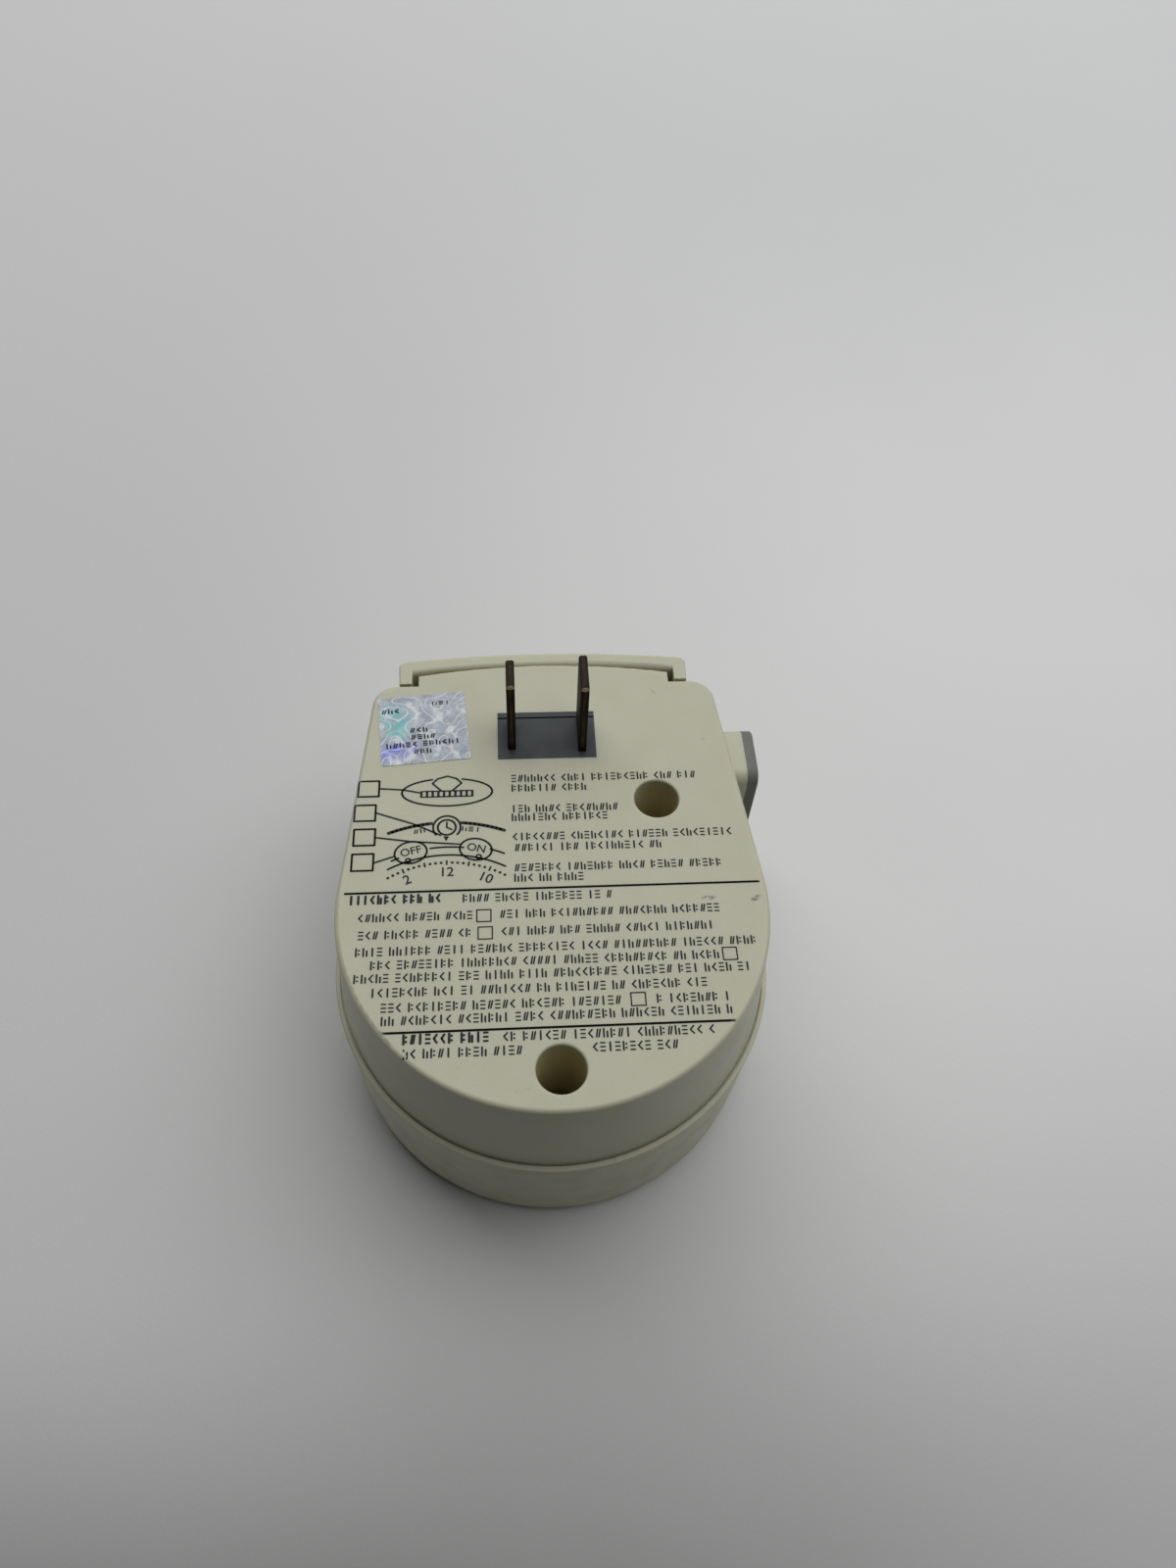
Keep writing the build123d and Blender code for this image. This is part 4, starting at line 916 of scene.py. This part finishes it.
rowLook = {
    "letterWidth": 0.86,
    "letterGap": 0.3,
    "wordGap": 0.75,
    "stroke": 0.31,
    "height": 1.6,
    "boldStroke": 0.42,
    "boldHeight": 1.8,
    "smallStroke": 0.26,
    "shortestWord": 2,
    "firstWord": 8,
    "longestWord": 9,
    "clearWide": 2.2,
    "clearTall": 1.8,
    "keyBox": (2.3, 2.2),
    "keyLine": 0.22,
    "ruleLine": 0.4,
    "edgeDrop": 0.5,
    "edgeLift": 0.012,
}
letterParts = {  # shares of the stroke, the height or the width
    "thin": 0.9,
    "dash": 0.85,
    "shortHeight": 0.72,
    "shortDrop": 0.14,
    "slantTop": 0.45,
    "slantStart": 0.6,
    "slantOver": 0.1,
    "twigMiddle": 0.68,
    "twigLength": 0.42,
    "twigLevels": (0.3, 0.72),
}
# a random value below this gives this shape
letterShapes = {"upright": 0.14, "pair": 0.36, "dashes": 0.52, "slants": 0.68, "chevron": 0.84, "branch": 1}
# start x, end x, baseline y
upperRows = [(-6.6, 26.4, -10.4), (-6.6, 8.3, -12.5), (-6.7, 12.7, -16.9), (-6.7, 10.3, -18.7)]
upperRows += [(-6.6, 33.1, -22.7), (-6.3, 19.0, -24.9), (-6.4, 29.9, -28.9), (-6.5, 6.2, -30.9)]
lowerRows = [(-15.1, 9.8, -34.5), (-32.1, 28.0, -37.7), (-31.9, 26.8, -40.9), (-32.2, 33.2, -43.9)]
lowerRows += [(-29.7, 30.0, -46.3), (-32.2, 32.0, -48.6), (-29.5, 24.6, -51.1), (-27.7, 27.9, -53.7)]
lowerRows += [(-27.6, 28.1, -55.9), (-8.8, 24.9, -59.15), (-24.1, -4.8, -61.4), (4.9, 18.8, -61.4)]
boldRows = [(-33.8, -17.0, -34.4), (-24.2, -10.4, -59.15)]
keyBoxes = [(-11.6, -37.1), (-11.4, -40.3), (28.1, -45.5), (12.6, -52.9)]
ruleLines = [((-34.5, -32.2), (34.7, -32.2)), ((-27.3, -57.1), (27.7, -57.1))]
upperWell = (18.93, -14.65)


def letterMarks(shape, x, base, height, stroke):
    # one made-up letter
    look = letterParts
    wide = rowLook["letterWidth"]
    left, centre, right = x + stroke / 2, x + wide / 2, x + wide - stroke / 2
    low, middle, high = base + stroke / 2, base + height / 2, base + height - stroke / 2
    thin = stroke * look["thin"]
    if shape == "upright":
        return [stampPlace(centre, middle, 0, stroke, height)]
    if shape == "dashes":
        dash = stroke * look["dash"]
        return [stampPlace(centre, level, 0, wide, dash) for level in (low, middle, high)]
    if shape == "slants":
        first = [(left, low), (x + wide * look["slantTop"], high)]
        second = [(x + wide * look["slantStart"], low), (right + wide * look["slantOver"], high)]
        return pathMarks(first, thin) + pathMarks(second, thin)
    if shape == "chevron":
        return pathMarks([(right, low), (left, middle), (right, high)], thin)
    marks = [stampPlace(left, middle, 0, stroke, height)]
    if shape == "pair":
        lower = middle - height * look["shortDrop"]
        return marks + [stampPlace(right, lower, 0, stroke, height * look["shortHeight"])]
    for share in look["twigLevels"]:
        start = x + wide * look["twigMiddle"]
        marks.append(stampPlace(start, base + height * share, 0, wide * look["twigLength"], thin))
    return marks


def rowMarks(start, end, base, height, stroke, hurdles=()):
    # a row of made-up words that leaves out what would fall on a hurdle
    look = rowLook
    marks = []
    x = start
    wide = look["letterWidth"]
    lettersLeft = random.randint(look["shortestWord"], look["firstWord"])
    while x + wide < end:
        onHurdle = any(
            abs(x + wide / 2 - spot[0]) < look["clearWide"]
            and abs(base + height / 2 - spot[1]) < look["clearTall"]
            for spot in hurdles
        )
        chance = random.random()
        if not onHurdle:
            shape = next(name for name, limit in letterShapes.items() if chance < limit)
            marks += letterMarks(shape, x, base, height, stroke)
        x += wide + look["letterGap"]
        lettersLeft -= 1
        if lettersLeft == 0:
            x += look["wordGap"]
            lettersLeft = random.randint(look["shortestWord"], look["longestWord"])
    return marks


def turnedMarks(x, y, length, height, turn, level=0.0):
    # a short row of strokes about one place, turned
    place = Matrix.Translation((x * mm, y * mm, level * mm)) @ Matrix.Rotation(math.radians(turn), 4, "Z")
    stroke = height * rowLook["smallStroke"]
    return [place @ mark for mark in rowMarks(-length / 2, length / 2, -height / 2, height, stroke)]


def settlePrint(piece):
    # print that runs past the flat follows the cover's rounded edge down
    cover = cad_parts["rear_cover"]
    for point in piece.data.vertices:
        struck, place = cover.ray_cast((point.co.x, point.co.y, mm), (0, 0, -1))[:2]
        if struck and -rowLook["edgeDrop"] * mm < place.z < -1e-6:
            point.co.z += place.z + rowLook["edgeLift"] * mm


def makeInstructions():
    look = rowLook
    marks = []
    for rows, hurdles in ((upperRows, [upperWell]), (lowerRows, keyBoxes)):
        for start, end, base in rows:
            marks += rowMarks(start, end, base, look["height"], look["stroke"], hurdles)
    for start, end, base in boldRows:
        marks += rowMarks(start, end, base, look["boldHeight"], look["boldStroke"])
    for x, y in keyBoxes:
        marks += boxMarks(x, y, *look["keyBox"], look["keyLine"])
    for ends in ruleLines:
        marks += pathMarks(finePoints(ends), look["ruleLine"])
    rows = joinPieces("instructionRows", stampMarks(stampBlock, marks))
    settlePrint(rows)
    giveFinish(rows, darkInk, "case")
    print("instruction rows:", len(marks), "marks")


makeInstructions()

# Line drawing of the front on the rear face

drawingLook = {
    "line": 0.36,
    "handLine": 0.324,
    "thinLine": 0.288,
    "heavyLine": 0.62,
    "boxSize": (3.6, 3.3),
    "hourRadius": 18.9,
    "hourSpacing": 11.3,
    "hourTick": (0.95, 0.34),
    "quarterDot": 0.52,
    "quartersEachSide": 11,
    "numberRadius": 17.0,
    "numberHeight": 1.75,
    "wordHeight": 1.45,
    "wheelStart": (-22.4, -12.55),
    "wheelStep": 0.99,
    "wheelTicks": 10,
    "wheelTick": (0.46, 1.3),
    "pointerTop": (-17.95, -21.55),
    "pointerWidth": 0.9,
    "pointerStep": 0.22,
    "pointerLine": 0.24,
    "pointerSteps": 4,
}
drawnCentre = (-17.8, -45.6)
drawingBoxes = [(-31.6, -11.1), (-32.0, -16.2), (-31.87, -21.2), (-31.93, -26.2)]
drawnLines = [  # which line, and its points
    # leaders from the four boxes
    ("line", [(-29.8, -11.1), (-25.6, -11.5), (-22.7, -12.2)]),
    ("line", [(-30.2, -16.2), (-23.4, -18.8), (-18.9, -21.2)]),
    ("line", [(-30.0, -21.3), (-24.0, -22.3), (-15.6, -23.1)]),
    ("line", [(-30.1, -26.4), (-26.7, -25.2)]),
    # arch over the wheel
    ("line", [(-20.5, -10.3), (-19.6, -9.3), (-17.9, -8.75), (-16.3, -9.3), (-15.4, -10.3)]),
    ("line", [(-20.5, -10.3), (-18.9, -11.9)]),
    ("line", [(-15.4, -10.3), (-17.0, -11.9)]),
    # edges of the wheel
    ("thinLine", [(-22.5, -11.95), (-13.4, -11.95)]),
    ("thinLine", [(-22.5, -13.15), (-13.4, -13.15)]),
    # hands of the clock sign
    ("handLine", [(-17.87, -18.5), (-17.87, -19.6), (-16.95, -20.1)]),
]
drawnArcs = [  # which line, then centre, radius, start, end, runs, and how flat and tilted
    ("line", ((-17.9, -12.2), 7.9, 109, 431, 60, 0.37)),  # thumb recess
    ("heavyLine", ((-17.9, -45.2), 26.6, 112, 95.5, 10)),  # thick arc on each side of the clock sign
    ("heavyLine", ((-17.9, -45.2), 26.6, 84.5, 68, 10)),
    ("line", ((-17.87, -19.6), 1.55, 0, 360, 24)),  # clock sign
    ("line", ((-17.87, -19.6), 2.35, -40, 220, 26)),
    ("line", ((-23.9, -24.5), 2.75, 0, 360, 30, 0.78, 12)),  # the two tabs
    ("line", ((-12.9, -24.2), 2.75, 0, 360, 30, 0.78, -12)),
    ("line", (drawnCentre, 22.0, 97.5, 82.5, 8)),  # the tabs' track
    ("line", (drawnCentre, 22.6, 71, 64.5, 4)),
    ("line", (drawnCentre, 21.6, 112, 115.5, 3)),
    ("line", (drawnCentre, 20.4, 61, 119, 34)),
    ("thinLine", ((-24.3, -26.1), 0.42, 0, 360, 12)),  # small circles at the tabs' inner edges
    ("thinLine", ((-12.4, -25.7), 0.42, 0, 360, 12)),
]
drawnRows = [(-22.1, -20.1, 3.0, 1.0, 11), (-13.5, -20.1, 3.6, 1.0, -6)]  # each side of the clock sign
drawnNumbers = [("2", 2), ("12", 0), ("10", -2)]  # words, and hours from the top
drawnWords = [("OFF", -23.9, -24.3, 14), ("ON", -12.8, -24.0, -14)]  # words, place and turn


def makeDrawing():
    look = drawingLook
    marks, dots = [], []
    for x, y in drawingBoxes:
        marks += boxMarks(x, y, *look["boxSize"], look["line"])
    for line, points in drawnLines:
        marks += pathMarks(points, look[line])
    for line, arc in drawnArcs:
        marks += pathMarks(arcPoints(*arc), look[line])
    x, y = look["wheelStart"]
    for step in range(look["wheelTicks"]):
        marks.append(stampPlace(x + step * look["wheelStep"], y, 0, *look["wheelTick"]))
    # the pointer under the clock sign, as runs that get shorter
    x, y = look["pointerTop"]
    for step in range(look["pointerSteps"]):
        less = step * look["pointerStep"]
        marks.append(stampPlace(x, y - less, 0, look["pointerWidth"] - less, look["pointerLine"]))
    # hour ring, with a tick at each hour and a dot at each quarter
    for quarter in range(-look["quartersEachSide"], look["quartersEachSide"] + 1):
        degrees = 90 + quarter * look["hourSpacing"] / 4
        x, y = pointAround(drawnCentre, look["hourRadius"], degrees)
        if quarter % 4 == 0:
            marks.append(stampPlace(x, y, 0, *look["hourTick"], math.radians(degrees)))
        else:
            dots.append(stampPlace(x, y, 0, look["quarterDot"], look["quarterDot"]))
    for row in drawnRows:
        marks += turnedMarks(*row)
    pieces = stampMarks(stampBlock, marks) + stampMarks(stampDot, dots)
    for words, hours in drawnNumbers:
        turn = hours * look["hourSpacing"]
        x, y = pointAround(drawnCentre, look["numberRadius"], 90 + turn)
        pieces.append(textPiece(words, x, y, 0, look["numberHeight"], turn))
    for words, x, y, turn in drawnWords:
        pieces.append(textPiece(words, x, y, 0, look["wordHeight"], turn))
    drawing = joinPieces("dialDrawing", pieces)
    settlePrint(drawing)
    giveFinish(drawing, darkInk, "case")


makeDrawing()
print("line drawing made")

# Print on the label, as rows of the same strokes

labelPrintLevel = 0.12
labelRows = [  # middle x, middle y, length, height, from the label's middle
    (-5.6, 4.5, 3.6, 1.1),
    (3.9, 5.6, 3.9, 0.85),
    (0, -0.3, 5.0, 1.15),
    (0, -1.9, 4.8, 1.15),
    (0, -3.5, 13.8, 1.15),
    (0, -5.2, 4.2, 1.1),
]


def makeLabelPrint():
    turn = labelLook["turn"]
    spin = Matrix.Rotation(math.radians(turn), 2)
    middleX, middleY = labelLook["place"][:2]
    marks = []
    for x, y, length, height in labelRows:
        spot = spin @ Vector((x, y))
        marks += turnedMarks(middleX + spot.x, middleY + spot.y, length, height, turn, labelPrintLevel)
    strokes = joinPieces("labelDashes", stampMarks(stampBlock, marks))
    giveFinish(strokes, darkInk, "case")


makeLabelPrint()
print("label print made")

# Print on the dial face, seen from the front

dialPrintLook = {
    "centre": (0, -34.7),
    "level": -45.5,
    "quarters": 96,
    "dotRadius": 22.6,
    "dotSize": 0.45,
    "hourInner": 21.5,
    "hourOuter": 23.2,
    "hourLine": 0.42,
    "numberRadius": 19.2,
    "numberHeight": 2.5,
    "numberEvery": 2,
    "ringRadius": 17.2,
    "ringRuns": 90,
    "ringLine": 0.22,
    "arrowRadius": 10.2,
    "arrowStart": 50,
    "arrowEnd": 128,
    "arrowRuns": 26,
    "arrowLine": 0.7,
    "headSteps": 7,
    "headHalf": 1.5,
    "headTaper": 0.2,
    "headTurn": 1.6,
    "headLine": 0.34,
}


def dialPoint(radius, degrees):
    return pointAround(dialPrintLook["centre"], radius, degrees)


def arrowMarks():
    # shows which way the dial is turned: clockwise from the front
    look = dialPrintLook
    centre, level, radius = look["centre"], look["level"], look["arrowRadius"]
    shaft = arcPoints(centre, radius, look["arrowStart"], look["arrowEnd"], look["arrowRuns"])
    marks = pathMarks(shaft, look["arrowLine"], level, -1)
    for step in range(look["headSteps"]):
        reach = look["headHalf"] - step * look["headTaper"]
        degrees = look["arrowEnd"] + step * look["headTurn"]
        ends = [dialPoint(radius - reach, degrees), dialPoint(radius + reach, degrees)]
        marks += pathMarks(ends, look["headLine"], level, -1)
    return marks


def makeDialPrint():
    look = dialPrintLook
    level, dot = look["level"], look["dotSize"]
    marks, dots = [], []
    for quarter in range(look["quarters"]):
        degrees = 90 - quarter * 360 / look["quarters"]
        if quarter % 4:
            x, y = dialPoint(look["dotRadius"], degrees)
            dots.append(stampPlace(x, y, level, dot, dot, 0, -1))
        else:
            ends = [dialPoint(look[edge], degrees) for edge in ("hourInner", "hourOuter")]
            marks += pathMarks(ends, look["hourLine"], level, -1)
    ring = arcPoints(look["centre"], look["ringRadius"], 0, 360, look["ringRuns"])
    marks += pathMarks(ring, look["ringLine"], level, -1) + arrowMarks()
    pieces = stampMarks(stampBlock, marks) + stampMarks(stampDot, dots)
    for hour in range(0, 24, look["numberEvery"]):
        degrees = 90 - hour * 15
        x, y = dialPoint(look["numberRadius"], degrees)
        number = str(hour % 12 or 12)
        pieces.append(textPiece(number, x, y, level, look["numberHeight"], degrees - 90, -1, 0))
    dialPrint = joinPieces("dialHourPrint", pieces)
    giveFinish(dialPrint, darkInk, "dial")


makeDialPrint()
print("dial print made")

# Lettering on the tabs, and the clock sign on the bezel

tabPrintLook = {"level": -45.7, "wordRadius": 27.7, "dotRadius": 25.6, "dotSize": 0.6}
signLook = {
    "level": -46.1,
    "centre": (0, 1.2),
    "radius": 2.1,
    "runs": 36,
    "line": 0.3,
    "hands": [(0, 2.7), (0, 1.2), (-1.0, 0.6)],
}


def makeTabPrint(name, words, degrees, body, height):
    look = tabPrintLook
    level, size = look["level"], look["dotSize"]
    x, y = dialPoint(look["wordRadius"], degrees)
    letters = textPiece(words, x, y, level, height, degrees - 90, -1)
    x, y = dialPoint(look["dotRadius"], degrees)
    dots = stampMarks(stampDot, [stampPlace(x, y, level, size, size, 0, -1)])
    tabPrint = joinPieces(name, [letters] + dots)
    giveFinish(tabPrint, paleInk, body)


def makeClockSign():
    look = signLook
    level, line = look["level"], look["line"]
    ring = arcPoints(look["centre"], look["radius"], 0, 360, look["runs"])
    marks = pathMarks(ring, line, level, -1) + pathMarks(look["hands"], line, level, -1)
    sign = joinPieces("clockSign", stampMarks(stampBlock, marks))
    giveFinish(sign, darkInk, "case")


makeTabPrint("onTabLetters", "ON", 135, "on_button", 2.1)
makeTabPrint("offTabLetters", "OFF", 45, "off_button", 1.9)
makeClockSign()
for stamp in (stampBlock, stampDot):
    bpy.data.objects.remove(stamp)
print("tab and bezel print made")

# Floor, light and camera

stageLook = {
    "floorLevel": -46.32,
    "floorSize": 8.0,
    "board": {"colour": (222, 223, 222), "rough": 0.7, "shine": 0.2},
    "shade": (124, 124, 123),
    "shadeReach": (-80, -150),
    "shadeRight": (-30, 120),
    "shadeLess": 0.7,
    "cloud": (198, 199, 199),
    "clouds": {"size": 90, "low": 0.35, "high": 0.7},
    "cloudAmount": 0.15,
    "grain": {"size": 0.8, "low": 0.2, "high": 0.8, "detail": 2},
    "grainDepth": 0.02,
    "keyPlace": (0.16, 0.87, 1.3),
    "keyAim": (0.04, 0.74, 0),
    "keyWidth": 3.2,
    "keyHeight": 1.8,
    "keyPower": 35.5,
    "fill": 0.03,
    "backdrop": 0.62,
}
# painted falloff of the light across the floor
paintedLightFalloff = [  # colour, axis, where it starts and is full, amount
    ((206, 207, 207), "Y", 50, 330, 1),  # to the far end
    ((203, 204, 203), "X", 110, -110, 1),  # to the left
    ((188, 189, 188), "Y", -10, -130, 0.9),  # to the near end
]
cameraLook = {
    "lens": 27,
    "sensor": 36,
    "place": (-0.00593, -0.13139, 0.17047),
    "turns": [("Z", -6.133), ("X", 35.338), ("Z", 3.553)],
}


def addObject(data):
    added = bpy.data.objects.new(data.name, data)
    bpy.context.scene.collection.objects.link(added)
    return added


def makeFloor():
    look = stageLook
    clearSelection()
    bpy.ops.mesh.primitive_plane_add(size=look["floorSize"], location=(0, 0, look["floorLevel"] * mm))
    floor = bpy.context.object
    floor.name = "paleFloor"
    bpy.ops.object.transform_apply()
    cover = startFinish("paleBoardPaintedShade", look["board"])
    # painted falloff of the light across the floor
    for colour, axis, start, end, amount in paintedLightFalloff:
        tintOver(cover, colour, slopeMask(cover, axis, start, end), amount)
    # painted shade: darkest nearest to the camera, weaker on the right
    right = product(cover, slopeMask(cover, "X", *look["shadeRight"]), look["shadeLess"])
    near = slopeMask(cover, "Y", *look["shadeReach"])
    shade = product(cover, near, mathNode(cover, "SUBTRACT", 1, right))
    tintOver(cover, look["shade"], shade)
    tintOver(cover, look["cloud"], noiseMask(cover, **look["clouds"]), look["cloudAmount"])
    addBump(cover, noiseMask(cover, **look["grain"]), look["grainDepth"])
    floor.data.materials.append(cover)


def makeLight():
    look = stageLook
    key = bpy.data.lights.new("keyLight", "AREA")
    key.shape = "RECTANGLE"
    key.size = look["keyWidth"]
    key.size_y = look["keyHeight"]
    key.energy = look["keyPower"]
    lamp = addObject(key)
    lamp.location = look["keyPlace"]
    aim = Vector(look["keyAim"]) - lamp.location
    lamp.rotation_euler = aim.to_track_quat("-Z", "Y").to_euler()
    # a white world that is bright where it is seen or mirrored and lights little
    world = bpy.data.worlds.new("studio")
    bpy.context.scene.world = world
    world.use_nodes = True
    rays = addNode(world, "LightPath").outputs
    seen = mathNode(world, "MAXIMUM", rays["Is Camera Ray"], rays["Is Glossy Ray"])
    seen = mathNode(world, "MAXIMUM", seen, rays["Is Transmission Ray"])
    level = mapNode(world, seen, start=look["fill"], end=look["backdrop"])
    values = {"Color": (1, 1, 1, 1), "Strength": level}
    setInputs(world, world.node_tree.nodes["Background"], values)


def makeCamera():
    view = bpy.data.cameras.new("camera")
    view.lens = cameraLook["lens"]
    view.sensor_width = cameraLook["sensor"]
    camera = addObject(view)
    place = Matrix.Translation(cameraLook["place"])
    for axis, degrees in cameraLook["turns"]:
        place = place @ Matrix.Rotation(math.radians(degrees), 4, axis)
    camera.matrix_world = place
    bpy.context.scene.camera = camera


makeFloor()
makeLight()
makeCamera()
print("stage and camera set")

bpy.context.view_layer.update()
